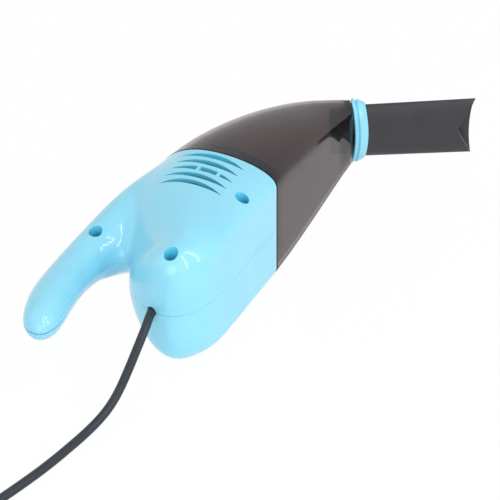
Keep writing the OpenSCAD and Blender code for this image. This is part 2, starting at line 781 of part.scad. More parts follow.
module collar() {
    color("skyblue") at_mouth() difference() {
        union() {
            prism_x(lens(flange_t, flange_w), collar_gap, collar_gap + flange_l);
            prism_x(lens(flange_t - 2 * groove_in, flange_w - 2 * groove_in),
                collar_gap + flange_l, collar_gap + flange_l + groove_l);
            loft([stood(lens(band_t, band_w), collar_gap + flange_l + groove_l),
                stood(lens(rim_t, rim_w), collar_gap + collar_l)]);
        }
        prism_x(lens(nozzle_t + gap, nozzle_w + gap), collar_gap + flange_l, collar_gap + collar_l + over);
        prism_x(root_slot, -over, collar_gap + flange_l + over);
    }
}
module nozzle() {
    x0 = collar_gap + flange_l + gap;
    x1 = collar_gap + collar_l + nozzle_l;
    wall = 2 * nozzle_wall;
    color([0.27, 0.27, 0.3]) at_mouth() difference() {
        union() {
            loft([stood(lens(nozzle_t, nozzle_w), x0), stood(lens(tip_t, tip_w), x1)]);
            prism_x(lens(root_t, root_w), -root_l, x0 + over);
        }
        loft([stood(lens(root_t - wall, root_w - wall), -root_l - over),
            stood(lens(root_t - wall, root_w - wall), x0),
            stood(lens(tip_t - wall, tip_w - wall), x1 + over)]);
        translate([x1, -tip_t, 0]) rotate([-90, 0, 0]) linear_extrude(tip_t)
            polygon([[-notch_depth, 0], [over, tip_w / 2 + over], [over, -tip_w / 2 - over]]);
        translate([x1, 0, 0]) rotate([-90, 0, 0]) linear_extrude(tip_t)
            polygon([for (k = [0 : bow_steps]) let(t = 2 * k / bow_steps - 1)
                [(t * t - 1) * tip_bow, t * (tip_w / 2 + over)]]);
    }
}
module nozzle_seal() {
    color([0.12, 0.12, 0.13]) at_mouth() difference() {
        prism_x(lens(root_t + 2 * seal_proud, root_w + 2 * seal_proud), -seal_start, -seal_start + seal_l);
        prism_x(lens(root_t, root_w), -seal_start - over, -seal_start + seal_l + over);
    }
}

// One fan blade, an arc from the hub to the rim
module blade() {
    r = [for (k = [0 : blade_steps]) lerp(blade_root_r - over, fan_d / 2 - gap, k / blade_steps)];
    g = [for (k = [0 : blade_steps]) blade_sweep * pow(k / blade_steps, blade_curl)];
    half = [for (k = [0 : blade_steps]) blade_t / 2 / r[k] * 180 / PI];
    polygon(concat(
        [for (k = [0 : blade_steps]) r[k] * [cos(g[k] + half[k]), sin(g[k] + half[k])]],
        [for (k = [blade_steps : -1 : 0]) r[k] * [cos(g[k] - half[k]), sin(g[k] - half[k])]]));
}
module impeller() {
    color([0.85, 0.85, 0.83]) placed() difference() {
        union() {
            bar_x(fan_back, fan_back + fan_plate_t, fan_d);
            bar_x(fan_back, fan_front, hub_d);
            for (k = [0 : blade_count - 1]) translate([fan_back + fan_plate_t, 0, 0])
                rotate([0, 90, 0]) rotate(360 * k / blade_count)
                    linear_extrude(fan_w - fan_plate_t) blade();
            translate([fan_back + fan_plate_t, 0, 0]) bar_x(0, fan_plate_t, 2 * blade_root_r);
        }
        bar_x(fan_back - over, fan_front + over, shaft_d);
    }
}
module motor_shaft() {
    color("silver") placed() bar_x(shaft_back, shaft_front, shaft_d);
}
module armature() {
    r = motor_d / 2 - can_wall - magnet_t - air_gap;
    x1 = can_front - core_back;
    color([0.72, 0.45, 0.2]) placed() difference() {
        bar_x(x1 - core_l, x1, 2 * r);
        bar_x(x1 - core_l - over, x1 + over, shaft_d);
        for (k = [0 : core_arms - 1]) rotate([360 * k / core_arms, 0, 0])
            translate([x1 - core_l / 2, r * slot_share, 0])
            block(core_l + 2 * over, r, core_slot);
    }
}
module commutator() {
    x1 = can_front - core_back - core_l - comm_gap;
    color([0.8, 0.5, 0.25]) placed() difference() {
        bar_x(x1 - comm_l, x1, comm_d);
        bar_x(x1 - comm_l - over, x1 + over, shaft_d);
    }
}
module motor_mount() {
    ring = flat_outline(full_ring(half_section(drawn_in(body_row(0), shell_wall + gap))));
    color([0.82, 0.82, 0.8]) placed() difference() {
        prism_x(ring, mount_back, mount_front);
        bar_x(mount_back - over, mount_front + over, bush_d + 2 * gap);
        for (g = window_angles) rotate([g, 0, 0]) translate([0, window_r, 0])
            bar_x(mount_back - over, mount_front + over, window_d);
    }
}
module motor_can() {
    color("lightgray") placed() difference() {
        bar_x(can_back, can_front, motor_d);
        bar_x(can_back - over, can_front - can_wall, motor_d - 2 * can_wall);
        bar_x(can_front - 2 * over, can_front + over, bush_d);
    }
}
module motor_magnets() {
    r1 = motor_d / 2 - can_wall;
    color([0.25, 0.25, 0.27]) placed() for (g = [0, 180])
        translate([can_front - core_back / 2, 0, 0]) rotate([g, 0, 0]) rotate([0, -90, 0])
            rotate(90 - magnet_arc / 2) rotate_extrude(angle = magnet_arc)
                translate([r1 - magnet_t, 0]) square([magnet_t, magnet_l]);
}
module front_bush() {
    color([0.7, 0.58, 0.35]) placed() difference() {
        bar_x(can_front + mount_t - bush_l, can_front + mount_t, bush_d);
        bar_x(can_front - bush_l, can_front + bush_l, shaft_d + 2 * run_gap);
    }
}
module motor_end_cap() {
    inner = motor_d - 2 * can_wall;
    color([0.9, 0.9, 0.88]) placed() difference() {
        union() {
            bar_x(can_back - cap_t, can_back, motor_d);
            bar_x(can_back, can_back + cap_l, inner);
            bar_x(can_back - cap_t - cap_l, can_back, cap_boss_d);
        }
        bar_x(can_back, can_back + cap_l + over, inner - 2 * cap_t);
        bar_x(can_back - cap_t - cap_l - over, can_back + over, rear_bush_d);
        for (y = [-1, 1] * terminal_r) translate([can_back - cap_t / 2, y - terminal_t / 2, 0])
            block(cap_t + 2 * over, terminal_t, terminal_w);
    }
}
module rear_bush() {
    color([0.7, 0.58, 0.35]) placed() difference() {
        bar_x(can_back - cap_t - cap_l + gap, can_back, rear_bush_d);
        bar_x(can_back - cap_t - cap_l - over, can_back + over, shaft_d + 2 * run_gap);
    }
}
module motor_brushes() {
    color([0.75, 0.6, 0.3]) placed() for (side = [-1, 1])
        translate([can_back + brush_l / 2, side * (comm_d / 2 + gap + brush_t / 2) - brush_t / 2, 0])
            block(brush_l, brush_t, brush_w);
}
module motor_terminals() {
    color([0.78, 0.66, 0.35]) placed() for (y = [-1, 1] * terminal_r)
        translate([can_back - terminal_l / 2, y - terminal_t / 2, 0])
            block(terminal_l, terminal_t, terminal_w);
}

module slide_switch() {
    top = -pad_depth - pad_wall - gap;
    color([0.15, 0.15, 0.16]) placed() at_switch() {
        difference() {
            translate([0, top - switch_h, 0]) block(switch_l, switch_h, switch_w);
            translate([0, top - stem_reach - gap, 0])
                block(stem_l + switch_travel + 2 * slide_gap, stem_reach + gap + over,
                    stem_w + 2 * slide_gap);
        }
        for (x = [-1, 0, 1] * pin_pitch) translate([x, top - switch_h - pin_l, 0])
            block(pin_w, pin_l, pin_w);
    }
}
module switch_knob() {
    base = -pad_depth + gap;
    low = -pad_depth - pad_wall - stem_reach;
    color([0.2, 0.2, 0.22]) placed() at_switch() translate([-switch_travel / 2, 0, 0]) {
        translate([0, base, 0]) {
            block(knob_l - knob_w / 2, knob_h, knob_w);
            for (x = [-1, 1] * (knob_l - knob_w) / 2) translate([x, 0, 0])
                rotate([-90, 0, 0]) cylinder(d = knob_w, h = knob_h);
        }
        for (k = [0 : ridge_count - 1])
            translate([(k - (ridge_count - 1) / 2) * 2 * ridge_t, base + knob_h, 0])
                block(ridge_t, ridge_h, knob_w - 2 * ridge_t);
        translate([0, low, 0]) block(stem_l, base - low + gap, stem_w);
    }
}

// Where the leads end: beside each other at the cord's inner end, at a pin and at a terminal
entry_run = [cos(exit_turn), sin(exit_turn)];
function lead_start(side, out) =
    let(p = exit_place - entry_run * (entry_l + lead_gap + out)) [p[0], p[1], side * lead_side];
function at_pin(k) =
    let(x = k * pin_pitch, y = -pad_depth - pad_wall - gap - switch_h - pin_l - lead_gap,
        c = cos(pad_lean), s = sin(pad_lean))
    [pad_place[0] + x * c + y * s, pad_place[1] - x * s + y * c, 0];
function at_terminal(side) = [can_back - terminal_l - lead_gap, side * terminal_r, 0];
function from(place, points) = [for (p = points) place + p];
feed_points = concat([lead_start(1, 0), lead_start(1, lead_out)], from(lead_start(0, 0), feed_low),
    from(at_pin(-1), feed_high));
return_points = concat([lead_start(-1, 0), lead_start(-1, lead_out)], from(lead_start(0, 0), return_low),
    from(at_terminal(-1), return_high));
motor_points = concat(from(at_pin(0), motor_high), from(at_terminal(1), motor_low));
module lead(points) {
    loft(tube_rings(points, wire_d / 2, wire_sides), flip = true);
}
module feed_wire() {
    color("firebrick") placed() lead(feed_points);
}
module motor_wire() {
    color("firebrick") placed() lead(motor_points);
}
module return_wire() {
    color([0.1, 0.1, 0.1]) placed() lead(return_points);
}

module cord_stop() {
    color([0.15, 0.15, 0.16]) placed() at_exit() difference() {
        bar_x(-stop_in - stop_l / 2, -stop_in + stop_l / 2, stop_d);
        bar_x(-stop_in - stop_l, -stop_in + stop_l, cord_d);
    }
}
module cord_entry() {
    color([0.22, 0.24, 0.28]) placed() at_exit() bar_x(-entry_l, -end_gap, cord_d);
}

// The coil spirals in below, dips inward while it climbs a layer, and spirals out above
turn_total = 2 * half_turns + 0.5;
function coil_r(t) =
    t < half_turns ? coil_out_r - coil_pitch * t
    : t < half_turns + 0.5 ? coil_in_r - coil_dip * sin(360 * (t - half_turns))
    : coil_in_r + coil_pitch * (t - half_turns - 0.5);
function coil_z(t) =
    let(c = min(max(2 * (t - half_turns), 0), 1))
    coil_low_z + coil_pitch * c * c * (3 - 2 * c);
function coil_point(t) =
    let(g = coil_turn + 360 * t)
    [coil_place[0] + coil_r(t) * cos(g), coil_place[1] + coil_r(t) * sin(g), coil_z(t)];
coil_heading = [-sin(coil_turn), cos(coil_turn), 0];
coil_finish = coil_point(turn_total);
coil_leave = [-sin(coil_turn + 360 * turn_total), cos(coil_turn + 360 * turn_total), 0];
coil_points = concat(
    [coil_point(0) - coil_heading * cord_d],
    [for (k = [0 : turn_total * coil_rings]) coil_point(k / coil_rings)],
    [coil_finish + coil_leave * cord_d]);
lay_z = cord_r + lay_gap;
cord_points = [for (p = cord_rows) [cord_exit[0] + p[0], cord_exit[1] + p[1],
    lay_z + (seam_z - lay_z) * p[2] + (coil_low_z - lay_z) * p[3]]];
route = concat(cord_points, [coil_point(0) - coil_heading * cord_d]);
plug_z = plug_h / 2 + plug_lift;
end_start = coil_finish + coil_leave * cord_d;
coil_last = len(coil_points) - 1;
coil_self_gap = min([for (i = [0 : coil_last], j = [i + coil_rings / 2 : 1 : coil_last])
    norm(coil_points[i] - coil_points[j])]) - cord_d;
end_points = [for (t = end_places) end_start + coil_leave * end_run * t
    + [0, 0, (plug_z - end_start[2]) * t * t * (3 - 2 * t)]];
plug_start = end_points[len(end_places) - 1];

module cord_tube() {
    color([0.22, 0.24, 0.28]) loft(tube_rings(drawn_back(route), cord_r, cord_sides), flip = true);
}
module cord_coil() {
    color([0.22, 0.24, 0.28]) loft(tube_rings(drawn_back(coil_points), cord_r, coil_sides), flip = true);
}
module cord_end() {
    color([0.22, 0.24, 0.28]) loft(tube_rings(drawn_back(end_points), cord_r, cord_sides), flip = true);
}
module coil_tie() {
    span = coil_out_r - coil_in_r + cord_d + 2 * gap;
    rise = coil_pitch + cord_d + 2 * gap;
    color([0.1, 0.1, 0.1]) translate([coil_place[0], coil_place[1], 0]) rotate([0, 0, tie_turn])
        translate([coil_mid_r - span / 2 - tie_t, -tie_w / 2, 0]) difference() {
            cube([span + 2 * tie_t, tie_w, rise + 2 * tie_t]);
            translate([tie_t, -over, tie_t]) cube([span, tie_w + 2 * over, rise]);
        }
}

module at_plug() {
    translate(plug_start) rotate([0, 0, atan2(coil_leave[1], coil_leave[0])]) children();
}
module plug_grip() {
    color([0.2, 0.21, 0.24]) at_plug() difference() {
        union() {
            bar_x(0, plug_neck_l + over, plug_neck_d);
            translate([plug_neck_l, 0, 0]) intersection() {
                translate([(plug_l - plug_neck_l) / 2, -plug_w / 2, 0])
                    block(plug_l - plug_neck_l, plug_w, plug_h);
                for (y = [-1, 1] * (plug_w / 2 - plug_round)) translate([0, y, 0])
                    bar_x(0, plug_l, plug_h);
            }
            translate([(plug_l + plug_neck_l) / 2, -plug_w / 2 + plug_h / 2, 0])
                block(plug_l - plug_neck_l, plug_w - plug_h, plug_h);
        }
        translate([plug_l + over, -usb_w / 2, 0]) block(4 * over, usb_w, usb_h);
    }
}
module plug_shell() {
    color("silver") at_plug() translate([plug_l - over + usb_l / 2, -usb_w / 2, 0]) difference() {
        block(usb_l, usb_w, usb_h);
        translate([over, usb_wall, 0]) block(usb_l, usb_w - 2 * usb_wall, usb_h - 2 * usb_wall);
    }
}
module plug_tongue() {
    color([0.9, 0.9, 0.92]) at_plug() translate([plug_l - over + usb_l / 2, -usb_w / 2 + usb_wall, 0])
        translate([over / 2, 0, -usb_h / 2 + usb_wall + tongue_h / 2])
            block(usb_l - 2 * over, usb_w - 2 * usb_wall, tongue_h);
}
module plug_contacts() {
    color("gold") at_plug() for (k = [0 : contact_count - 1])
        translate([plug_l + usb_l / 2, (k - (contact_count - 1) / 2) * contact_pitch - contact_w / 2,
            -usb_h / 2 + usb_wall + tongue_h + contact_t / 2]) block(contact_l, contact_w, contact_t);
}

right_shell();
left_shell();
body_screws();
front_bulkhead();
cup_seal();
dust_cup();
filter_frame();
filter_cloth();
collar();
nozzle();
nozzle_seal();
impeller();
motor_shaft();
armature();
commutator();
motor_mount();
motor_can();
motor_magnets();
front_bush();
motor_end_cap();
rear_bush();
motor_brushes();
motor_terminals();
slide_switch();
switch_knob();
feed_wire();
motor_wire();
return_wire();
cord_stop();
cord_entry();
cord_tube();
cord_coil();
cord_end();
coil_tie();
plug_grip();
plug_shell();
plug_tongue();
plug_contacts();
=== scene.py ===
import math

import bpy
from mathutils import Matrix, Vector
from mathutils.bvhtree import BVHTree


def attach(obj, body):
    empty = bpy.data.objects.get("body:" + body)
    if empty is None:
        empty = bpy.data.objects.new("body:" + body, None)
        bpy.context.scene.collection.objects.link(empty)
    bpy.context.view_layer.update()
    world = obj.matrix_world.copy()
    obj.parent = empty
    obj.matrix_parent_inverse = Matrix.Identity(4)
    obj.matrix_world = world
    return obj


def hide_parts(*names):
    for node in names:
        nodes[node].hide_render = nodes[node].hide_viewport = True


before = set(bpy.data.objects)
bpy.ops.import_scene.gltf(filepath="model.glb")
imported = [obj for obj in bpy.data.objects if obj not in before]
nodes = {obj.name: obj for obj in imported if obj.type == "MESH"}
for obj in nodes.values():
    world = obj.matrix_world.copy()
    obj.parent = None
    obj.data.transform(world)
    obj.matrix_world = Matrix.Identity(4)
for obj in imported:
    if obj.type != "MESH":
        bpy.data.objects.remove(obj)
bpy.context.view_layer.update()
MM = 0.001
scene = bpy.context.scene
scene.view_settings.view_transform = "Standard"

# Sizes of the body in millimetres, X forward from the dust cup joint, Y up from the motor axis,
# Z out from the seam
body_length, body_width, belly, crown, flat_width = 70, 58, 24, 32, 40
handle_length, handle_height, grip_thick, grip_wide = 101, 33.4, 17.4, 17
cup_length, mouth_rise, mouth_tilt, mouth_wide, mouth_thick, mouth_bow = 80, 4, 59, 29.4, 13.2, 1.2
wall, cup_wall, joint_gap = 1.8, 1.6, 0.6
joint_x, seam_z = 28, 28.6
cord_d = 3.5
widest_share = belly / (belly + crown)
mouth_flat_share, flat_draw_share = 0.8, 0.6
exit_back_share, exit_low_share = 0.998, 0.229


# The camera: lens in millimetres, turn and tilt in degrees, distances in metres

camera_lens, camera_sensor = 144, 36
camera_shift = (-0.053, -0.042)
camera_turn, camera_tilt, camera_distance = -64, 35, 0.8
clip_near, clip_far = 0.01, 20


def aim_camera():
    data = bpy.data.cameras.new("view_camera")
    data.lens, data.sensor_width = camera_lens, camera_sensor
    data.shift_x, data.shift_y = camera_shift
    data.clip_start, data.clip_end = clip_near, clip_far
    camera = bpy.data.objects.new("view_camera", data)
    scene.collection.objects.link(camera)
    turn, tilt = math.radians(camera_turn), math.radians(camera_tilt)
    back = Vector((math.sin(turn) * math.cos(tilt), -math.cos(turn) * math.cos(tilt), math.sin(tilt)))
    target = Vector((joint_x, -belly, seam_z)) * MM
    camera.location = target + back * camera_distance
    camera.rotation_euler = back.to_track_quat("Z", "Y").to_euler()
    scene.camera = camera
    return camera


view_camera = aim_camera()


# The cord: its route on the table and the coil it is put away in, as the solids have them

# Each row: x and y from the exit, and the height as a share of the exit's and then of the coil's
cord_exit = Vector((joint_x - exit_back_share * body_length, -exit_low_share * belly))
cord_rows = [
    (0, 0, 1, 0), (-3.4, -0.8, 0.985, 0), (-7.3, -1.4, 0.925, 0), (-11.1, -1.5, 0.828, 0),
    (-14.7, -1.3, 0.709, 0), (-18.1, -0.9, 0.575, 0), (-21.5, -0.4, 0.44, 0), (-25.1, 0.1, 0.313, 0),
    (-29.1, 0.7, 0.201, 0), (-33.9, 1.5, 0.112, 0), (-39.5, 2.6, 0.049, 0), (-46.1, 3.9, 0.011, 0),
    (-53.7, 5.2, 0, 0), (-61.7, 6.5, 0, 0), (-69.7, 8.1, 0, 0), (-77.9, 10.1, 0, 0), (-86.1, 12.3, 0, 0),
    (-93.7, 14.3, 0, 0.09), (-100.7, 16, 0, 0.26), (-107.5, 17.2, 0, 0.52), (-114.5, 18.3, 0, 0.87)]
lay_gap, coil_space, tie_thick, tie_gap = 0.05, 0.6, 1, 0.2
cord_steps, coil_steps = 5, 36
end_shares = (0, 0.1, 0.25, 0.5, 0.75, 0.9, 1)
lay_height = cord_d / 2 + lay_gap
coil_centre = cord_exit + Vector((-128.9, -6.3))
coil_start, coil_pitch, coil_middle, half_turns = 82, cord_d + coil_space, 19, 3.5
coil_low, end_run, plug_middle = tie_thick + tie_gap + cord_d / 2, 9, 3.85


def coil_point(turns):
    outer = coil_middle + coil_pitch * half_turns / 2
    inner = coil_middle - coil_pitch * half_turns / 2
    if turns < half_turns:
        radius = outer - coil_pitch * turns
    elif turns < half_turns + 0.5:
        radius = inner - coil_pitch / (2 * math.pi) * math.sin(2 * math.pi * (turns - half_turns))
    else:
        radius = inner + coil_pitch * (turns - half_turns - 0.5)
    climb = min(max(2 * (turns - half_turns), 0), 1)
    angle = math.radians(coil_start) + 2 * math.pi * turns
    return Vector((coil_centre[0] + radius * math.cos(angle), coil_centre[1] + radius * math.sin(angle),
                   coil_low + coil_pitch * climb * climb * (3 - 2 * climb)))


def spline(a, b, c, d, t):
    """Between b and c, on a smooth curve that a and d lead into and out of."""
    return 0.5 * (2 * b + (c - a) * t + (2 * a - 5 * b + 4 * c - d) * t * t
                  + (3 * b - a - 3 * c + d) * t ** 3)


def curve_through(points, steps):
    out = []
    for i in range(len(points) - 1):
        a, b = points[max(i - 1, 0)], points[i]
        c, d = points[i + 1], points[min(i + 2, len(points) - 1)]
        out += [spline(a, b, c, d, k / steps) for k in range(steps)]
    return out + [points[-1]]


total_turns = 2 * half_turns + 0.5
start_angle = math.radians(coil_start)
finish_angle = start_angle + 2 * math.pi * total_turns
arrive = Vector((-math.sin(start_angle), math.cos(start_angle), 0))
leave = Vector((-math.sin(finish_angle), math.cos(finish_angle), 0))
free_points = [Vector((cord_exit.x + x, cord_exit.y + y, lay_height + (seam_z - lay_height) * fall
                       + (coil_low - lay_height) * lift)) for x, y, fall, lift in cord_rows]
free_points.append(coil_point(0) - arrive * cord_d)
wound_points = [coil_point(k / coil_steps) for k in range(int(total_turns * coil_steps) + 1)]
end_start = wound_points[-1] + leave * cord_d
end_points = [end_start + leave * end_run * t
              + Vector((0, 0, (plug_middle - end_start.z) * t * t * (3 - 2 * t))) for t in end_shares]
cord_route = curve_through(free_points, cord_steps) + wound_points + end_points


def lay_cord():
    data = bpy.data.curves.new("cord", "CURVE")
    data.dimensions = "3D"
    data.bevel_depth = cord_d / 2 * MM
    data.bevel_resolution = 4
    data.use_fill_caps = True
    line = data.splines.new("POLY")
    line.points.add(len(cord_route) - 1)
    for place, p in zip(line.points, cord_route):
        place.co = (p.x * MM, p.y * MM, p.z * MM, 1)
    cord = bpy.data.objects.new("cord", data)
    scene.collection.objects.link(cord)
    bpy.ops.object.select_all(action="DESELECT")
    cord.select_set(True)
    bpy.context.view_layer.objects.active = cord
    bpy.ops.object.convert(target="MESH")
    bpy.ops.object.shade_smooth()
    return bpy.context.object


cord = lay_cord()
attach(cord, "body")
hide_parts("cord_tube", "cord_coil", "cord_end")


# Finishes

metal_grain, moulded_cloud, coat_rough = 2200, 60, 0.06


def finish_named(name):
    material = bpy.data.materials.new(name)
    material.use_nodes = True
    shader = material.node_tree.nodes["Principled BSDF"]
    return material, material.node_tree.nodes, material.node_tree.links, shader


def place_of(tree, links, scale=(1, 1, 1)):
    coordinate = tree.new("ShaderNodeTexCoord")
    mapping = tree.new("ShaderNodeMapping")
    mapping.inputs["Scale"].default_value = scale
    links.new(coordinate.outputs["Object"], mapping.inputs["Vector"])
    return mapping.outputs["Vector"]


def speckle(tree, links, scale, detail=3.0):
    noise = tree.new("ShaderNodeTexNoise")
    noise.inputs["Scale"].default_value = scale
    noise.inputs["Detail"].default_value = detail
    links.new(place_of(tree, links), noise.inputs["Vector"])
    return noise.outputs["Fac"]


def ranged(tree, links, value, low, high):
    spread = tree.new("ShaderNodeMapRange")
    spread.inputs["From Min"].default_value = 0.3
    spread.inputs["From Max"].default_value = 0.7
    spread.inputs["To Min"].default_value = low
    spread.inputs["To Max"].default_value = high
    links.new(value, spread.inputs["Value"])
    return spread.outputs["Result"]


def tinted(tree, links, value, dark, light):
    ramp = tree.new("ShaderNodeValToRGB")
    ramp.color_ramp.elements[0].position, ramp.color_ramp.elements[1].position = 0.35, 0.65
    ramp.color_ramp.elements[0].color = (*dark, 1)
    ramp.color_ramp.elements[1].color = (*light, 1)
    links.new(value, ramp.inputs["Fac"])
    return ramp.outputs["Color"]


def bumped(tree, links, shader, value, strength, depth, rounding=0.0):
    bump = tree.new("ShaderNodeBump")
    bump.inputs["Strength"].default_value = strength
    bump.inputs["Distance"].default_value = depth * MM
    links.new(value, bump.inputs["Height"])
    if rounding:
        edge = tree.new("ShaderNodeBevel")
        edge.samples = 6
        edge.inputs["Radius"].default_value = rounding * MM
        links.new(edge.outputs["Normal"], bump.inputs["Normal"])
    links.new(bump.outputs["Normal"], shader.inputs["Normal"])


def moulded(name, dark, light, rough, grain, strength=0.1, coat=0.0, rounding=0.0, spec=0.5):
    material, tree, links, shader = finish_named(name)
    broad = speckle(tree, links, moulded_cloud)
    fine = speckle(tree, links, grain, 4)
    links.new(tinted(tree, links, broad, dark, light), shader.inputs["Base Color"])
    links.new(ranged(tree, links, fine, rough[0], rough[1]), shader.inputs["Roughness"])
    shader.inputs["Coat Weight"].default_value = coat
    shader.inputs["Coat Roughness"].default_value = coat_rough
    shader.inputs["Specular IOR Level"].default_value = spec
    bumped(tree, links, shader, fine, strength, 0.02, rounding)
    return material


def metal(name, dark, light, rough, scale=(1, 1, 1)):
    material, tree, links, shader = finish_named(name)
    noise = tree.new("ShaderNodeTexNoise")
    noise.inputs["Scale"].default_value = metal_grain
    links.new(place_of(tree, links, scale), noise.inputs["Vector"])
    links.new(tinted(tree, links, noise.outputs["Fac"], dark, light), shader.inputs["Base Color"])
    links.new(ranged(tree, links, noise.outputs["Fac"], rough[0], rough[1]), shader.inputs["Roughness"])
    shader.inputs["Metallic"].default_value = 1
    bumped(tree, links, shader, noise.outputs["Fac"], 0.08, 0.01)
    return material


def smoke_clear():
    material, tree, links, shader = finish_named("smoke_clear")
    broad = speckle(tree, links, 45)
    fine = speckle(tree, links, 1500)
    tint = tinted(tree, links, broad, (0.19, 0.155, 0.161), (0.21, 0.171, 0.178))
    links.new(tint, shader.inputs["Base Color"])
    links.new(ranged(tree, links, fine, 0.03, 0.06), shader.inputs["Roughness"])
    shader.inputs["Transmission Weight"].default_value = 1
    shader.inputs["IOR"].default_value = 1.35
    bumped(tree, links, shader, broad, 0.05, 0.05)
    return material


def cord_sleeve():
    material, tree, links, shader = finish_named("cord_sleeve")
    fine = speckle(tree, links, 1800)
    tint = tinted(tree, links, fine, (0.02, 0.027, 0.036), (0.03, 0.038, 0.05))
    links.new(tint, shader.inputs["Base Color"])
    shader.inputs["Specular IOR Level"].default_value = 0.3
    links.new(ranged(tree, links, fine, 0.34, 0.46), shader.inputs["Roughness"])
    bumped(tree, links, shader, fine, 0.12, 0.02)
    return material


def felted():
    material, tree, links, shader = finish_named("filter_felt")
    fine = speckle(tree, links, 2600, 6)
    links.new(tinted(tree, links, fine, (0.05, 0.05, 0.055), (0.16, 0.16, 0.17)), shader.inputs["Base Color"])
    shader.inputs["Roughness"].default_value = 0.95
    shader.inputs["Sheen Weight"].default_value = 0.3
    bumped(tree, links, shader, fine, 0.8, 0.15)
    return material


def wound_copper():
    material, tree, links, shader = finish_named("wound_copper")
    wave = tree.new("ShaderNodeTexWave")
    wave.inputs["Scale"].default_value = 900
    links.new(place_of(tree, links), wave.inputs["Vector"])
    tint = tinted(tree, links, wave.outputs["Fac"], (0.35, 0.13, 0.05), (0.72, 0.33, 0.16))
    links.new(tint, shader.inputs["Base Color"])
    shader.inputs["Metallic"].default_value = 0.9
    shader.inputs["Roughness"].default_value = 0.35
    bumped(tree, links, shader, wave.outputs["Fac"], 0.6, 0.1)
    return material


blue_gloss = moulded("blue_gloss", (0.24, 0.635, 0.815), (0.26, 0.66, 0.835), (0.2, 0.26), 1400, 0.05,
                     coat=0.5, rounding=0.3, spec=0.25)
# Painted shade: a darker, more saturated and rougher blue for the walls of the vents, screw holes and
# recesses, standing for the shade that falls inside them.
blue_painted_shade = moulded("blue_painted_shade", (0.1, 0.6, 0.8), (0.12, 0.64, 0.84), (0.5, 0.6), 1400, 0.05, spec=0.1)
dark_satin = moulded("dark_satin", (0.03, 0.029, 0.036), (0.037, 0.036, 0.043), (0.42, 0.55), 2400, 0.25,
                     rounding=0.2, spec=0.35)
# Painted highlight: a pale grey for the faces that the nozzle's notch cuts, standing for light caught on its
# thin rim.
edge_painted_highlight = moulded("edge_painted_highlight", (0.3, 0.3, 0.32), (0.34, 0.34, 0.36), (0.4, 0.5), 2400, 0.2)
knob_grey = moulded("knob_grey", (0.03, 0.03, 0.034), (0.045, 0.045, 0.05), (0.4, 0.55), 2400, 0.3,
                    rounding=0.15)
white_nylon = moulded("white_nylon", (0.66, 0.66, 0.63), (0.74, 0.74, 0.71), (0.4, 0.55), 1800, 0.2)
seal_rubber = moulded("seal_rubber", (0.018, 0.018, 0.02), (0.03, 0.03, 0.033), (0.6, 0.8), 2600, 0.4)
red_sleeve = moulded("red_sleeve", (0.42, 0.02, 0.02), (0.52, 0.03, 0.03), (0.35, 0.5), 1800, 0.1)
black_sleeve = moulded("black_sleeve", (0.015, 0.015, 0.017), (0.026, 0.026, 0.03), (0.35, 0.5), 1800, 0.1)
magnet_dark = moulded("magnet_dark", (0.05, 0.05, 0.055), (0.09, 0.09, 0.095), (0.5, 0.7), 900, 0.5)
bright_steel = metal("bright_steel", (0.5, 0.5, 0.52), (0.66, 0.66, 0.68), (0.2, 0.34), (1, 8, 8))
screw_steel = metal("screw_steel", (0.24, 0.25, 0.27), (0.36, 0.37, 0.39), (0.28, 0.42))
warm_brass = metal("warm_brass", (0.6, 0.42, 0.18), (0.74, 0.56, 0.28), (0.22, 0.36))
smoke = smoke_clear()
sleeve = cord_sleeve()
felt = felted()
copper = wound_copper()

finish_of = {
    "right_shell": blue_gloss, "left_shell": blue_gloss, "front_bulkhead": blue_gloss, "collar": blue_gloss,
    "dust_cup": smoke, "nozzle": dark_satin, "cup_seal": seal_rubber, "nozzle_seal": seal_rubber,
    "cord_stop": seal_rubber, "body_screws": screw_steel, "motor_shaft": bright_steel,
    "motor_can": bright_steel, "plug_shell": bright_steel, "filter_frame": knob_grey, "filter_cloth": felt,
    "impeller": white_nylon,
    "motor_mount": white_nylon, "motor_end_cap": white_nylon, "plug_tongue": white_nylon, "armature": copper,
    "commutator": copper, "motor_magnets": magnet_dark, "front_bush": warm_brass, "rear_bush": warm_brass,
    "motor_brushes": warm_brass, "motor_terminals": warm_brass, "plug_contacts": warm_brass,
    "slide_switch": knob_grey, "switch_knob": knob_grey, "feed_wire": red_sleeve, "motor_wire": red_sleeve,
    "return_wire": black_sleeve, "cord_entry": sleeve, "cord_tube": sleeve, "cord_coil": sleeve,
    "cord_end": sleeve, "coil_tie": seal_rubber, "plug_grip": sleeve}


def dress(obj, *materials):
    """One finish for the whole piece. A second one is for the faces that a cutter leaves."""
    obj.data.materials.clear()
    for material in materials:
        obj.data.materials.append(material)


for name, node in nodes.items():
    dress(node, finish_of[name])
dress(cord, sleeve)


# The outline of the object: rows of sizes, read through with a smooth curve

# The body: low point and high point, each along and up, half width, half of the flat, the dome's
# power, and the height of the widest line
body_rows = [
    (0, -1, 0, 1, 1, 1, 2.3, 1), (-0.25, -1, -0.21, 1, 1, 1, 2.3, 1), (-0.5, -1, -0.4, 0.92, 1, 1, 1.9, 0.91),
    (-0.7, -0.98, -0.55, 0.72, 0.99, 0.98, 1.5, 0.72), (-0.84, -0.9, -0.705, 0.485, 0.93, 0.82, 1.5, 0.6),
    (-0.94, -0.74, -0.872, 0.275, 0.83, 0.64, 1.9, 0.6), (-0.99, -0.55, -0.967, -0.02, 0.61, 0.42, 2.2, 0.7),
    (-1, -0.34, -1, -0.26, 0, 0, 2.3, 0.7)]
# The handle: along, up, thickness and width
handle_rows = [
    (-0.08, 0.51, 1.9, 2.9), (-0.2, 0.72, 1.6, 2.4), (-0.34, 0.87, 1.36, 1.8), (-0.475, 0.98, 1.08, 1.24),
    (-0.6, 1.01, 0.98, 1.02), (-0.7, 1, 0.97, 0.97), (-0.79, 0.965, 0.98, 0.97), (-0.87, 0.905, 0.93, 0.93),
    (-0.935, 0.845, 0.78, 0.8), (-0.98, 0.8, 0.46, 0.48), (-1, 0.785, 0, 0)]
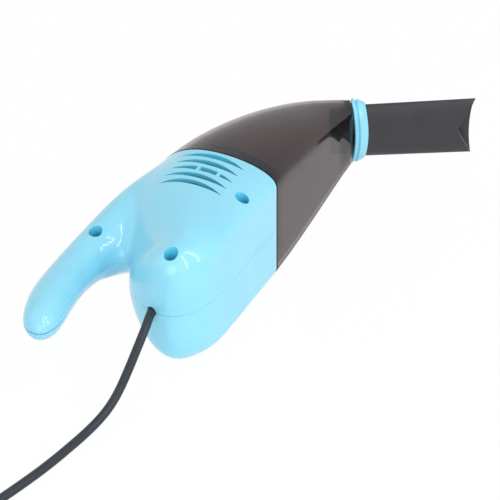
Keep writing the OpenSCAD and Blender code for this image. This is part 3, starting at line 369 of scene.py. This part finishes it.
# The web between them: height, rear end, front end and half width
web_rows = [
    (0.12, -0.55, -0.2, 1.1), (0.27, -0.505, -0.2, 0.8), (0.39, -0.475, -0.2, 0.62),
    (0.5, -0.463, -0.2, 0.56), (0.61, -0.47, -0.2, 0.56), (0.71, -0.505, -0.2, 0.62),
    (0.81, -0.57, -0.2, 0.6)]
# The cup: how far each of the first six sizes of a section has gone from the joint to the mouth
cup_rows = [
    (0, 0, 0, 0, 0, 0), (0.2, 0.2, 0.172, 0.056, 0.04, 0.12), (0.4, 0.4, 0.375, 0.172, 0.16, 0.32),
    (0.6, 0.6, 0.6, 0.355, 0.37, 0.55), (0.8, 0.8, 0.82, 0.62, 0.67, 0.78), (1, 1, 1, 1, 1, 1)]


def through(rows, u):
    last = len(rows) - 1
    i = min(int(u), last - 1)
    near = zip(rows[max(i - 1, 0)], rows[i], rows[i + 1], rows[min(i + 2, last)])
    return [spline(a, b, c, d, u - i) for a, b, c, d in near]


def blended(a, b, share):
    return a + (b - a) * share


def body_row(u):
    s = through(body_rows, u)
    return [s[0] * body_length, s[1] * belly, s[2] * body_length, s[3] * crown,
            s[4] * body_width / 2, s[5] * flat_width / 2, s[6], s[7] * widest_share]


def cup_row(u):
    a = body_row(0)
    a[0] += joint_gap
    a[2] += joint_gap
    tilt = math.radians(mouth_tilt)
    across = Vector((math.sin(tilt), math.cos(tilt))) * mouth_thick / 2
    middle = Vector((cup_length, mouth_rise - belly))
    b = [*(middle - across), *(middle + across), mouth_wide / 2, mouth_wide / 2 * mouth_flat_share]
    return [blended(p, q, k) for p, q, k in zip(a, b, through(cup_rows, u))] + a[6:]


def drawn_in(row, by):
    """A section with its sides moved in by a depth."""
    up = Vector((row[2] - row[0], row[3] - row[1])).normalized()
    return [row[0] + by * up.x, row[1] + by * up.y, row[2] - by * up.x, row[3] - by * up.y,
            row[4] - by, row[5] - by * flat_draw_share, *row[6:]]


def d_ring(row, wide=None, flat_steps=6, low_steps=14, top_steps=24):
    """A cross section: flat underside, quarter rounds up to the widest line, and the domed back."""
    low = Vector((row[0], row[1], 0))
    rise = Vector((row[2] - row[0], row[3] - row[1], 0))
    half, flat, dome = max(row[4], 0), max(row[5], 0), row[6]
    wide = wide or row[7]
    right = [low + Vector((0, 0, flat * k / flat_steps)) for k in range(flat_steps)]
    for k in range(low_steps + 1):
        a = math.pi / 2 * k / low_steps
        out = flat + (half - flat) * math.sin(a)
        right.append(low + rise * wide * (1 - math.cos(a)) + Vector((0, 0, out)))
    for k in range(1, top_steps + 1):
        a = math.pi / 2 * k / top_steps
        right.append(low + rise * (wide + (1 - wide) * math.sin(a) ** (2 / dome))
                     + Vector((0, 0, half * max(math.cos(a), 0) ** (2 / dome))))
    left = [Vector((p.x, p.y, -p.z)) for p in right[-2:0:-1]]
    return right + left


def grip_ring(u, sides=56, nudge=0.01):
    """A section of the handle, square to the way that it runs there."""
    last = len(handle_rows) - 1
    s = through(handle_rows, u)
    ahead = through(handle_rows, min(u + nudge, last))
    behind = through(handle_rows, max(u - nudge, 0))
    run = Vector(((ahead[0] - behind[0]) * handle_length,
                  (ahead[1] - behind[1]) * handle_height)).normalized()
    up = Vector((run.y, -run.x))
    middle = Vector((s[0] * handle_length, s[1] * handle_height))
    a, b = max(s[2] * grip_thick / 2, 0), max(s[3] * grip_wide / 2, 0)
    ring = []
    for k in range(sides):
        g = 2 * math.pi * k / sides
        p = middle - up * a * math.cos(g)
        ring.append(Vector((p.x, p.y, b * math.sin(g))))
    return ring


def web_ring(u, sides=40):
    s = through(web_rows, u)
    rear, front, half = s[1] * handle_length, s[2] * handle_length, s[3] * grip_wide
    middle, reach = (rear + front) / 2, (front - rear) / 2
    return [Vector((middle - reach * math.cos(2 * math.pi * k / sides), s[0] * handle_height,
                    half * math.sin(2 * math.pi * k / sides))) for k in range(sides)]


# Frames of reference: each turns a point in millimetres into its place on the table

def placed(p):
    return Vector((p[0] + joint_x, p[1], p[2] + seam_z)) * MM


def turned(place, degrees):
    c, s = math.cos(math.radians(degrees)), math.sin(math.radians(degrees))
    return lambda p: placed((place[0] + p[0] * c - p[1] * s, place[1] + p[0] * s + p[1] * c, p[2]))


switch_place, switch_turn, exit_turn = (-24.987, 39.343), -11.502, 193.8
at_mouth = turned((cup_length, mouth_rise - belly), -mouth_tilt)
at_switch = turned(switch_place, switch_turn)
at_exit = turned((-exit_back_share * body_length, -exit_low_share * belly), exit_turn)


# Modelling by operators

def only(*objs):
    if bpy.context.object and bpy.context.object.mode != "OBJECT":
        bpy.ops.object.mode_set(mode="OBJECT")
    bpy.ops.object.select_all(action="DESELECT")
    for o in objs:
        o.select_set(True)
    bpy.context.view_layer.objects.active = objs[0]


def edit_all(obj):
    only(obj)
    bpy.ops.object.mode_set(mode="EDIT")
    bpy.ops.mesh.select_all(action="SELECT")


def leave_edit():
    bpy.ops.object.mode_set(mode="OBJECT")


def lofted(name, rings, closed=False, to=placed):
    """A sheet bent round the rings, one row to a ring. Closed joins the last ring to the first."""
    rows = rings + rings[:1] if closed else rings
    only(view_camera)
    bpy.ops.mesh.primitive_grid_add(x_subdivisions=len(rings[0]), y_subdivisions=len(rows) - 1, size=0.1)
    form = bpy.context.object
    form.name = form.data.name = name
    form.data.vertices.foreach_set("co", [c for ring in rows for p in ring + ring[:1] for c in to(p)])
    edit_all(form)
    bpy.ops.mesh.remove_doubles(threshold=2e-6)
    if not closed:
        bpy.ops.mesh.fill_holes(sides=0)
    bpy.ops.mesh.select_all(action="SELECT")
    bpy.ops.mesh.normals_make_consistent(inside=False)
    leave_edit()
    return form


def apply(obj, kind, **settings):
    only(obj)
    modifier = obj.modifiers.new(kind.lower(), kind)
    for key, value in settings.items():
        setattr(modifier, key, value)
    bpy.ops.object.modifier_apply(modifier=modifier.name)
    return obj


def carved(obj, cutter, operation="DIFFERENCE", keep=False):
    apply(obj, "BOOLEAN", operation=operation, object=cutter, solver="EXACT")
    if not keep:
        bpy.data.objects.remove(cutter)
    return obj


def joined(name, pieces):
    only(*pieces)
    if len(pieces) > 1:
        bpy.ops.object.join()
    whole = bpy.context.object
    whole.name = whole.data.name = name
    return whole


def copied(obj, name):
    other = obj.copy()
    other.data = obj.data.copy()
    other.name = other.data.name = name
    scene.collection.objects.link(other)
    return other


def smooth(obj, angle=35):
    only(obj)
    bpy.ops.object.shade_smooth_by_angle(angle=math.radians(angle))
    return obj


def marked(cutter, *materials):
    """A cutter in two finishes, all of it in the second, which its cut then takes."""
    dress(cutter, *materials)
    for face in cutter.data.polygons:
        face.material_index = 1
    return cutter


def finished(obj, body, material, replaced):
    """Gives a piece its finish, unless it has one, and the body that carries it, and hides the node it stands
    for.
    """
    if not obj.data.materials:
        dress(obj, material)
    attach(obj, body)
    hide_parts(replaced)
    return obj


def circle(radius, sides=48):
    turns = [2 * math.pi * k / sides for k in range(sides)]
    return [(radius * math.cos(a), radius * math.sin(a)) for a in turns]


def post(x, y, low, high, radius, side=1, sides=48):
    """A round pin across the seam, as a prism of two rings."""
    ring = circle(radius, sides)
    return lofted("post", [[Vector((x + p, y + q, side * z)) for p, q in ring] for z in (low, high)])


def bar_along(start, end, radius, to):
    return lofted("bar", [[(x, p, q) for p, q in circle(radius)] for x in (start, end)], to=to)


def slab(x0, x1, y0, y1, z0, z1, to=placed):
    rings = [[(x0, y0, z), (x1, y0, z), (x1, y1, z), (x0, y1, z)] for z in (z0, z1)]
    return lofted("slab", rings, to=to)


# The two shells

fillet_reach, fillet_passes, skin_passes, skin_voxel = 9, 160, 10, 0.75
body_steps, grip_steps, web_steps, past_joint = 84, 96, 36, 6
lining_depth, lining_set_back = 0.9, 0.4
rim_merge, rim_band, rim_round = 0.2, 0.2, 0.15
seam_start, seam_run, seam_band, seam_least, seam_most = 62, 30, 3, 0.03, 0.2


def outer_form():
    """Body, handle and the web between them, each a closed form, the body carried on past its front edge."""
    last, grip_last, web_last = len(body_rows) - 1, len(handle_rows) - 1, len(web_rows) - 1
    front = body_row(0)
    rings = [d_ring([front[0] + past_joint, front[1], front[2] + past_joint, *front[3:]])]
    rings += [d_ring(body_row(last * k / body_steps)) for k in range(body_steps)]
    rings.append(d_ring([*body_row(last)[:4], 0, 0, 2, 0.3]))
    body = lofted("vacuum_form", rings)
    grip = lofted("grip", [grip_ring(grip_last * k / grip_steps) for k in range(grip_steps + 1)])
    web = lofted("web", [web_ring(web_last * k / web_steps) for k in range(web_steps + 1)])
    return body, grip, web


def lining_form(whole):
    """The blended form drawn in by a depth, which the bosses and ribs are trimmed to."""
    form = copied(whole, "lining")
    apply(form, "DISPLACE", strength=-lining_depth * MM, mid_level=0)
    edit_all(form)
    bpy.ops.mesh.bisect(plane_co=placed((-lining_set_back, 0, 0)), plane_no=(1, 0, 0),
                        clear_outer=True, use_fill=True)
    leave_edit()
    return form


def blended_form():
    """Body and handle in one skin, with a fillet where they are near each other."""
    body, grip, web = outer_form()
    apart = [BVHTree.FromObject(o, bpy.context.evaluated_depsgraph_get()) for o in (body, grip)]
    whole = carved(carved(body, grip, "UNION"), web, "UNION")
    guide = copied(whole, "guide")
    apply(whole, "REMESH", mode="VOXEL", voxel_size=skin_voxel * MM)
    apply(whole, "SHRINKWRAP", target=guide, wrap_method="NEAREST_SURFACEPOINT")
    bpy.data.objects.remove(guide)
    valley = whole.vertex_groups.new(name="valley")
    for v in whole.data.vertices:
        far = max(tree.find_nearest(v.co)[3] for tree in apart)
        near = min(max(1 - far / (fillet_reach * MM), 0), 1)
        if near > 0:
            valley.add([v.index], near * near * (3 - 2 * near), "REPLACE")
    apply(whole, "SMOOTH", factor=0.5, iterations=fillet_passes, vertex_group="valley")
    apply(whole, "SMOOTH", factor=0.5, iterations=skin_passes)
    whole.vertex_groups.clear()
    return whole


def bisected(obj, place, normal, fill=False):
    edit_all(obj)
    bpy.ops.mesh.bisect(plane_co=place, plane_no=normal, clear_outer=True, use_fill=fill, threshold=1e-7)
    leave_edit()
    return obj


screw_places = ((-0.281 * body_length, -0.783 * belly), (-0.9 * body_length, -0.461 * belly),
                (-0.458 * handle_length, 0.958 * handle_height))
head_height, recess_radius, screw_radius = 5, 2.7, 1.5
vent_first, vent_pitch, vent_length, vent_width, vent_bow, vent_rise = -5.2, 4.9, 27.6, 2.8, 3.4, 1.5
vent_count, vent_reach, vent_bars = 5, (15, 30), ((1.5, 2.9), (-7.5, -6.1))
rib_x, rib_thick, rib_top, can_radius = -34.6, 1.6, 13.7, 12.4
boss_wall, left_boss_radius, seam_inset, past_skin = 0.9, 3.3, 0.02, 32
saddle_rear, saddle_front, saddle_low, saddle_high, saddle_half = -7.9, -6.3, -3.4, 3.2, 6.8
pad_length, pad_width, pad_depth, pad_floor, pad_rim = 22, 10.4, 1.3, 1.8, 2
stem_travel, stem_slot, cord_room, left_screw_depth = 3.8, 1.5, 0.15, 12
past_screw, past_pad, cord_hole = 40, 4, (-12, 3)


def vent_slot(x, low, high, side, steps=20):
    """Part of a crescent slot, between two shares of its half length."""
    share = [low + (high - low) * k / steps for k in range(steps + 1)]
    front = [(x + vent_bow * (1 - t * t), vent_rise + t * vent_length / 2) for t in share]
    rear = [(x + (vent_bow - vent_width) * (1 - t * t), vent_rise + t * vent_length / 2)
            for t in reversed(share)]
    if abs(high) == 1:
        rear = rear[1:]
    if abs(low) == 1:
        rear = rear[:-1]
    return lofted("vent", [[(px, py, side * z) for px, py in front + rear] for z in vent_reach])


def vent_cutters(side):
    """The slots. Two bars cross the middle one, each between two places along it."""
    half = vent_length / 2
    bars = [(low / half, high / half) for low, high in vent_bars]
    pieces = []
    for k in range(vent_count):
        x = vent_first - k * vent_pitch
        if k == vent_count // 2:
            for low, high in ((-1, bars[1][0]), (bars[1][1], bars[0][0]), (bars[0][1], 1)):
                pieces.append(vent_slot(x, low, high, side))
        else:
            pieces.append(vent_slot(x, -1, 1, side))
    return pieces


def stadium(length, width, y, sides=24):
    ring = []
    for end, start in ((1, -math.pi / 2), (-1, math.pi / 2)):
        for k in range(sides + 1):
            a = start + math.pi * k / sides
            ring.append((end * (length - width) / 2 + width / 2 * math.cos(a), y, width / 2 * math.sin(a)))
    return ring


def inner_parts(side, lining):
    """Screw bosses, the motor's rib, the switch's floor and the cord's saddle, trimmed to the lining."""
    radius = recess_radius + boss_wall if side > 0 else left_boss_radius
    parts = [post(x, y, seam_inset, past_skin, radius, side) for x, y in screw_places]
    rib = slab(rib_x - rib_thick, rib_x, -belly - 1, rib_top, seam_inset * side, past_skin * side)
    parts.append(carved(rib, bar_along(rib_x - 3, rib_x + 1, can_radius, placed)))
    parts.append(slab(-pad_length / 2 - pad_rim, pad_length / 2 + pad_rim, -pad_depth - pad_floor, -pad_depth,
                      seam_inset * side, (pad_width / 2 + pad_rim) * side, at_switch))
    parts.append(slab(saddle_rear, saddle_front, saddle_low, saddle_high,
                      seam_inset * side, saddle_half * side, at_exit))
    return carved(joined("inner_parts", parts), lining, "INTERSECT", keep=True)


def hollowed(whole):
    """The form as a wall, open at its front, where its edge is flat and a little rounded."""
    bisected(whole, placed((0, 0, 0)), (1, 0, 0))
    edit_all(whole)
    bpy.ops.mesh.remove_doubles(threshold=rim_merge * MM)
    leave_edit()
    edge = whole.vertex_groups.new(name="edge")
    edge.add([v.index for v in whole.data.vertices if v.co.x > (joint_x - rim_band) * MM], 1, "REPLACE")
    apply(whole, "SOLIDIFY", thickness=wall * MM, offset=-1, use_even_offset=True, use_rim=True)
    for v in whole.data.vertices:
        if v.groups:
            v.co.x = joint_x * MM
        v.co.z = max(v.co.z, 0)
    whole.vertex_groups.clear()
    return apply(whole, "BEVEL", width=rim_round * MM, segments=2, limit_method="ANGLE",
                 angle_limit=math.radians(60))


def open_seam(half, side):
    """The halves touch at the body, and stand a hair apart at the handle's tip."""
    for v in half.data.vertices:
        far = min(max((joint_x - seam_start - v.co.x / MM) / seam_run, 0), 1)
        near = max(1 - abs(v.co.z / MM - seam_z) / seam_band, 0)
        v.co.z += side * near * blended(seam_least, seam_most, far) * MM


def shell(name, whole, lining, side):
    """One half of the form with its inner parts, then its vents, screw holes and the openings it shares."""
    half = bisected(copied(whole, name), placed((0, 0, 0)), (0, 0, -side), fill=True)
    open_seam(half, side)
    # The second finish is the painted shade, for the walls that the cutters leave.
    dress(half, blue_gloss, blue_painted_shade)
    carved(half, inner_parts(side, lining), "UNION")
    cutters = vent_cutters(side)
    depth = head_height if side > 0 else left_screw_depth
    cutters += [post(x, y, -1, depth, screw_radius, side, 32) for x, y in screw_places]
    # The vents and screw holes get the painted shade on their walls.
    carved(half, marked(joined("cutters", cutters), blue_gloss, blue_painted_shade))
    if side > 0:
        recesses = [post(x, y, head_height, past_screw, recess_radius) for x, y in screw_places]
        recesses = joined("recesses", recesses)
        # The recesses' walls get the painted shade.
        carved(half, marked(recesses, blue_gloss, blue_painted_shade))
    pad_rings = [stadium(pad_length, pad_width, y) for y in (-pad_depth, past_pad)]
    carved(half, lofted("pad", pad_rings, to=at_switch))
    carved(half, slab(-stem_travel, stem_travel, -pad_depth - pad_floor - 1, 0,
                      -stem_slot, stem_slot, at_switch))
    carved(half, bar_along(*cord_hole, cord_d / 2 + cord_room, at_exit))
    return smooth(half, 30)


whole = blended_form()
lining = lining_form(whole)
hollowed(whole)
finished(shell("right_shell_skin", whole, lining, 1), "body", blue_gloss, "right_shell")
finished(shell("left_shell_skin", whole, lining, -1), "body", blue_gloss, "left_shell")
for spare in (whole, lining):
    bpy.data.objects.remove(spare)


# The dust cup

def mouth_lens(row_ring, thick, wide, x):
    """An oval at the mouth with as many points as a ring, spread round it as the ring's are."""
    half = len(row_ring) // 2
    run = [0.0]
    for a, b in zip(row_ring[:half], row_ring[1:half + 1]):
        run.append(run[-1] + (b - a).length)
    right = []
    for length in run:
        a = math.pi * length / run[-1]
        right.append((x, -thick / 2 * math.cos(a), wide / 2 * math.sin(a)))
    return right + [(p[0], p[1], -p[2]) for p in right[-2:0:-1]]


cup_mouth = (at_mouth((1, 0, 0)) - at_mouth((0, 0, 0))).normalized()
slot_thick, slot_wide, slot_depth = 8.4, 23.8, 3
cup_steps, lined_share, mouth_bow_reach = 60, 0.95, 6
dark_from, dark_within_share = -3.2, 0.99
cup_round, collar_round, nozzle_round = 0.3, 0.15, 0.12


def mouth_reach(place):
    """How far out a point near the mouth is, as a share of the mouth's own oval."""
    from_middle = place - at_mouth((0, 0, 0))
    across = (at_mouth((0, 1, 0)) - at_mouth((0, 0, 0))).normalized()
    return math.hypot(across.dot(from_middle) / (mouth_thick / 2 * MM), from_middle.z / (mouth_wide / 2 * MM))


def dust_cup():
    """A wall between two lofts, closed at the mouth but for the slot that the nozzle's root sits in."""
    steps, last = cup_steps, len(cup_rows) - 1
    wide = lambda share: blended(widest_share, 0.5, share)
    outer = [d_ring(cup_row(last * k / steps), wide(k / steps)) for k in range(steps + 1)]
    inner = [d_ring(drawn_in(cup_row(last * lined_share * k / steps), cup_wall),
                    wide(lined_share * k / steps)) for k in range(steps + 1)]
    slot = [mouth_lens(outer[-1], slot_thick, slot_wide, x) for x in (0, -slot_depth)]
    unplaced = [[(at_mouth(p) / MM) - Vector((joint_x, 0, seam_z)) for p in ring] for ring in slot]
    cup = lofted("dust_cup_shell", outer + unplaced + inner[::-1], closed=True)
    dress(cup, smoke, dark_satin)
    for face in cup.data.polygons:
        out = cup_mouth.dot(face.center - at_mouth((0, 0, 0))) / MM
        dark = out > dark_from and mouth_reach(face.center) < dark_within_share
        face.material_index = 1 if dark else 0
    for v in cup.data.vertices:
        near = max(1 + cup_mouth.dot(v.co - at_mouth((0, 0, 0))) / MM / mouth_bow_reach, 0)
        across = min(abs(v.co.z / MM - seam_z) / (mouth_wide / 2), 1)
        v.co += cup_mouth * MM * mouth_bow * near * (1 - across * across)
        v.co.z = max(v.co.z, 0)
    apply(cup, "BEVEL", width=cup_round * MM, segments=2, limit_method="ANGLE", angle_limit=math.radians(50))
    return smooth(cup, 35)


finished(dust_cup(), "cup", smoke, "dust_cup")


# Collar and nozzle

def oval(x, thick, wide, points=96):
    return [(x, thick / 2 * math.cos(2 * math.pi * k / points), wide / 2 * math.sin(2 * math.pi * k / points))
            for k in range(points)]


def bowed(points, bow, half):
    return [(x + bow * (1 - (z / half) ** 2), y, z) for x, y, z in points]


def collar_ring():
    """A flange, a groove and a tapered rim. Each row is a place, a thickness and a width."""
    rings = [bowed(oval(x, t, w), mouth_bow, w / 2) for x, t, w in (
        (0.3, 14.2, 30.4), (0.6, 14.9, 31.3), (1.4, 14.9, 31.3), (1.7, 14.4, 30.8), (1.8, 13, 29.2),
        (2.4, 13, 29.2), (2.5, 14.2, 30.6), (2.9, 14.5, 30.8), (6, 11.2, 27.9), (6.3, 10.6, 27.4),
        (6.1, 8.8, 25.6), (1.3, 8.8, 25.6), (1.3, slot_thick, slot_wide), (0.3, slot_thick, slot_wide))]
    ring = lofted("collar_ring", rings, closed=True, to=at_mouth)
    apply(ring, "BEVEL", width=collar_round * MM, segments=2, limit_method="ANGLE",
          angle_limit=math.radians(30))
    return smooth(ring, 40)


def flat_nozzle():
    """A flat tube that widens to its notched tip, on a root that sits in the cup's mouth."""
    start, end, wide, steps = 1.5, 54, 14.4, 12
    root, bow_back, corner_out, bow_reach = -9, 1.2, 0.35, 6
    root_size, foot_size, tip_size = (6.6, 22), (8.6, 25.4), (6.6, 26.8)
    root_bore, tip_bore, past_tip, side_wall = (4.2, 19.6), (5, 25), 3, 1.4

    def at_tip(p):
        """The last few millimetres bow back in the middle, and the upper corner stands further out."""
        share, across = max((p[0] - end) / bow_reach + 1, 0), p[2] / wide
        moved = corner_out * (across - 1) - bow_back * (1 - across * across)
        return at_mouth((p[0] + share * moved, p[1], p[2]))

    share = [k / steps for k in range(steps + 1)]
    tapered = lambda a, b, s: oval(blended(start, end, s), blended(a[0], b[0], s), blended(a[1], b[1], s))
    outer = [oval(root, *root_size), oval(start, *root_size)]
    outer += [tapered(foot_size, tip_size, s) for s in share]
    inner = [tapered(root_bore, tip_bore, s) for s in reversed(share)]
    nozzle = lofted("nozzle_shell", outer + inner + [oval(root, *root_bore)], closed=True, to=at_tip)
    # The second finish is the painted highlight, for the notch's cut faces.
    dress(nozzle, dark_satin, edge_painted_highlight)
    reach = end + past_tip
    arm = wide - side_wall
    notch = [(end - 7.6, 0), (end - 0.6, arm), (reach, arm), (reach, -arm), (end - 1, -arm)]
    notch = lofted("notch", [[(x, y, z) for x, z in notch] for y in (-7, 0)], to=at_mouth)
    # The notch's cut faces get the painted highlight.
    carved(nozzle, marked(notch, dark_satin, edge_painted_highlight))
    apply(nozzle, "BEVEL", width=nozzle_round * MM, segments=2, limit_method="ANGLE",
          angle_limit=math.radians(50))
    return smooth(nozzle, 35)


finished(collar_ring(), "cup", blue_gloss, "collar")
finished(flat_nozzle(), "nozzle_unit", dark_satin, "nozzle")


# The slide switch's knob

ridge_count, ridge_pitch = 4, 1.6


def slide_knob():
    """A rounded slider with four ridges, on a stem through the floor of its recess."""
    at_knob = lambda p: at_switch((p[0] - 2, p[1], p[2]))
    form = [(12, 7, -1.1), (12, 7, 0.3), (11.7, 6.7, 0.7), (11.1, 6.1, 0.9)]
    parts = [lofted("knob", [stadium(length, width, y) for length, width, y in form], to=at_knob)]
    for k in range(ridge_count):
        x = (k - (ridge_count - 1) / 2) * ridge_pitch
        parts.append(lofted("ridge", [stadium_across(x, 0.8 - cut, 5.2 - cut, y)
                                      for cut, y in ((0, 0.6), (0, 1.3), (0.2, 1.45))], to=at_knob))
    parts.append(slab(-1.5, 1.5, -4.5, -0.9, -1.2, 1.2, at_knob))
    knob = parts[0]
    for part in parts[1:]:
        carved(knob, part, "UNION")
    knob.name = knob.data.name = "slide_knob"
    return smooth(knob, 40)


def stadium_across(x, thick, wide, y):
    return [(x + q, y, p) for p, _, q in stadium(wide, thick, y, 6)]


finished(slide_knob(), "knob", knob_grey, "switch_knob")


# The cord's tie and plug

def on_table(place, degrees):
    c, s = math.cos(math.radians(degrees)), math.sin(math.radians(degrees))
    return lambda p: Vector((place[0] + p[0] * c - p[1] * s, place[1] + p[0] * s + p[1] * c,
                             place[2] + p[2])) * MM


def rounded_box(x, wide, high, corner, sides=8):
    """An outline across X with round corners."""
    ring = []
    for k, (sy, sz) in enumerate(((1, 1), (-1, 1), (-1, -1), (1, -1))):
        for j in range(sides + 1):
            a = math.pi / 2 * (k + j / sides)
            ring.append((x, sy * (wide / 2 - corner) + corner * math.cos(a),
                         sz * (high / 2 - corner) + corner * math.sin(a)))
    return ring


def coil_band():
    """A flat band round the turns of the coil, on one side of it."""
    broad, tie_turn, grow = 4, 165, 2 * tie_thick
    span, rise = coil_pitch * half_turns + cord_d + 2 * tie_gap, coil_pitch + cord_d + 2 * tie_gap
    at_tie = on_table((coil_centre[0], coil_centre[1], 0), tie_turn)
    stand = lambda p: at_tie((coil_middle + p[1], p[0], rise / 2 + tie_thick + p[2]))
    rings = [rounded_box(x, span + wide, rise + wide, corner) for x, wide, corner in (
        (-broad / 2, grow - 0.3, 2.3), (-broad / 2 + 0.3, grow, 2.5), (broad / 2 - 0.3, grow, 2.5),
        (broad / 2, grow - 0.3, 2.3), (broad / 2, 0, 1.5), (-broad / 2, 0, 1.5))]
    band = lofted("coil_band", rings, closed=True, to=stand)
    return smooth(band, 40)


at_plug = on_table(cord_route[-1], math.degrees(math.atan2(leave.y, leave.x)))


groove_count, groove_first, groove_pitch = 3, 9.4, 2.4


def plug_body():
    """The moulded grip: a neck for the cord, shoulders, and three finger grooves on each flat side."""
    rings = [rounded_box(x, w, h, r) for x, w, h, r in (
        (0, 4.4, 4.4, 2.1), (0.3, 5, 5, 2.4), (4.2, 5, 5, 2.4), (4.9, 7, 5.6, 2.3), (5.6, 10.5, 6.7, 2.3),
        (6.6, 13, 7.4, 2.3), (7.8, 14, 7.6, 2.3))]
    for k in range(groove_count):
        x = groove_first + groove_pitch * k
        rings += [rounded_box(x + q, 14, h, 2.3) for q, h in ((0, 7.6), (0.3, 7), (1.1, 7), (1.4, 7.6))]
    rings += [rounded_box(x, w, h, r) for x, w, h, r in (
        (20.2, 14, 7.6, 2.3), (20.8, 13.6, 7.2, 2.1), (21, 13, 6.6, 1.9))]
    body = lofted("plug_body", rings, to=at_plug)
    return smooth(body, 50)


def plug_sleeve():
    """The folded metal shell, open at its end, with its two square windows."""
    start, end, wide, high, thick = 20, 33, 12, 4.5, 0.4
    rings = [rounded_box(x, w, h, r, 4) for x, w, h, r in (
        (start, wide, high, 0.5), (end - 0.3, wide, high, 0.5), (end, wide - 0.2, high - 0.2, 0.45),
        (end, wide - 2 * thick, high - 2 * thick, 0.2), (start + 1, wide - 2 * thick, high - 2 * thick, 0.2))]
    sleeve_form = lofted("plug_sleeve", rings, to=at_plug)
    for y in (-2.9, 2.9):
        carved(sleeve_form, slab(start + 6, start + 8.2, y - 1.1, y + 1.1,
                                 high / 2 - 0.8, high / 2 + 1, at_plug))
    return smooth(sleeve_form, 30)


tie = finished(coil_band(), "body", seal_rubber, "coil_tie")
grip_form = finished(plug_body(), "body", sleeve, "plug_grip")
metal_form = finished(plug_sleeve(), "body", bright_steel, "plug_shell")


# Floor, backdrop and light

world_lit, floor_size, floor_drop, floor_seen_share = 0.68, 6, 0.0002, 0.97


def white_to_camera(tree, links):
    """1 where the camera, a mirror or clear plastic looks at it, 0 where it lights the object."""
    path = tree.new("ShaderNodeLightPath")
    first, both = tree.new("ShaderNodeMath"), tree.new("ShaderNodeMath")
    first.operation = both.operation = "MAXIMUM"
    links.new(path.outputs["Is Camera Ray"], first.inputs[0])
    links.new(path.outputs["Is Glossy Ray"], first.inputs[1])
    links.new(first.outputs[0], both.inputs[0])
    links.new(path.outputs["Is Transmission Ray"], both.inputs[1])
    return both.outputs[0]


def white_world():
    world = bpy.data.worlds.new("white_room")
    scene.world = world
    world.use_nodes = True
    tree, links = world.node_tree.nodes, world.node_tree.links
    lit = tree["Background"]
    lit.inputs["Color"].default_value = (1, 1, 1, 1)
    lit.inputs["Strength"].default_value = world_lit
    seen = tree.new("ShaderNodeBackground")
    seen.inputs["Color"].default_value = (1, 1, 1, 1)
    seen.inputs["Strength"].default_value = 1
    mix = tree.new("ShaderNodeMixShader")
    links.new(white_to_camera(tree, links), mix.inputs["Fac"])
    links.new(lit.outputs[0], mix.inputs[1])
    links.new(seen.outputs[0], mix.inputs[2])
    links.new(mix.outputs[0], tree["World Output"].inputs["Surface"])


def white_floor():
    only(view_camera)
    bpy.ops.mesh.primitive_plane_add(size=floor_size, location=(0, 0, -floor_drop))
    floor = bpy.context.object
    floor.name = "table_top"
    material, tree, links, shader = finish_named("white_table")
    shader.inputs["Base Color"].default_value = (0.9, 0.9, 0.9, 1)
    shader.inputs["Roughness"].default_value = 0.6
    shader.inputs["Specular IOR Level"].default_value = 0.1
    glow = tree.new("ShaderNodeEmission")
    glow.inputs["Strength"].default_value = 1
    mix = tree.new("ShaderNodeMixShader")
    share = tree.new("ShaderNodeMath")
    share.operation = "MULTIPLY"
    share.inputs[1].default_value = floor_seen_share
    links.new(white_to_camera(tree, links), share.inputs[0])
    links.new(share.outputs[0], mix.inputs["Fac"])
    links.new(shader.outputs[0], mix.inputs[1])
    links.new(glow.outputs[0], mix.inputs[2])
    links.new(mix.outputs[0], tree["Material Output"].inputs["Surface"])
    floor.data.materials.append(material)


def soft_lamp(name, place, size, power, aim=(-0.02, 0, 0.03)):
    data = bpy.data.lights.new(name, "AREA")
    data.shape, data.size, data.size_y, data.energy = "RECTANGLE", *size, power
    lamp = bpy.data.objects.new(name, data)
    scene.collection.objects.link(lamp)
    lamp.location = place
    lamp.rotation_euler = (Vector(place) - Vector(aim)).to_track_quat("Z", "Y").to_euler()


white_world()
white_floor()
soft_lamp("left_strip", (-0.286, -0.657, 0.58), (0.04, 1.1), 2.1)
soft_lamp("right_strip", (0.005, -0.709, 0.58), (0.04, 1.1), 2.1)
soft_lamp("side_fill", (-0.95, -0.3, 0.3), (0.7, 0.5), 2.6)
soft_lamp("overhead", (-0.4, 0.7, 0.7), (1, 1), 1.6)
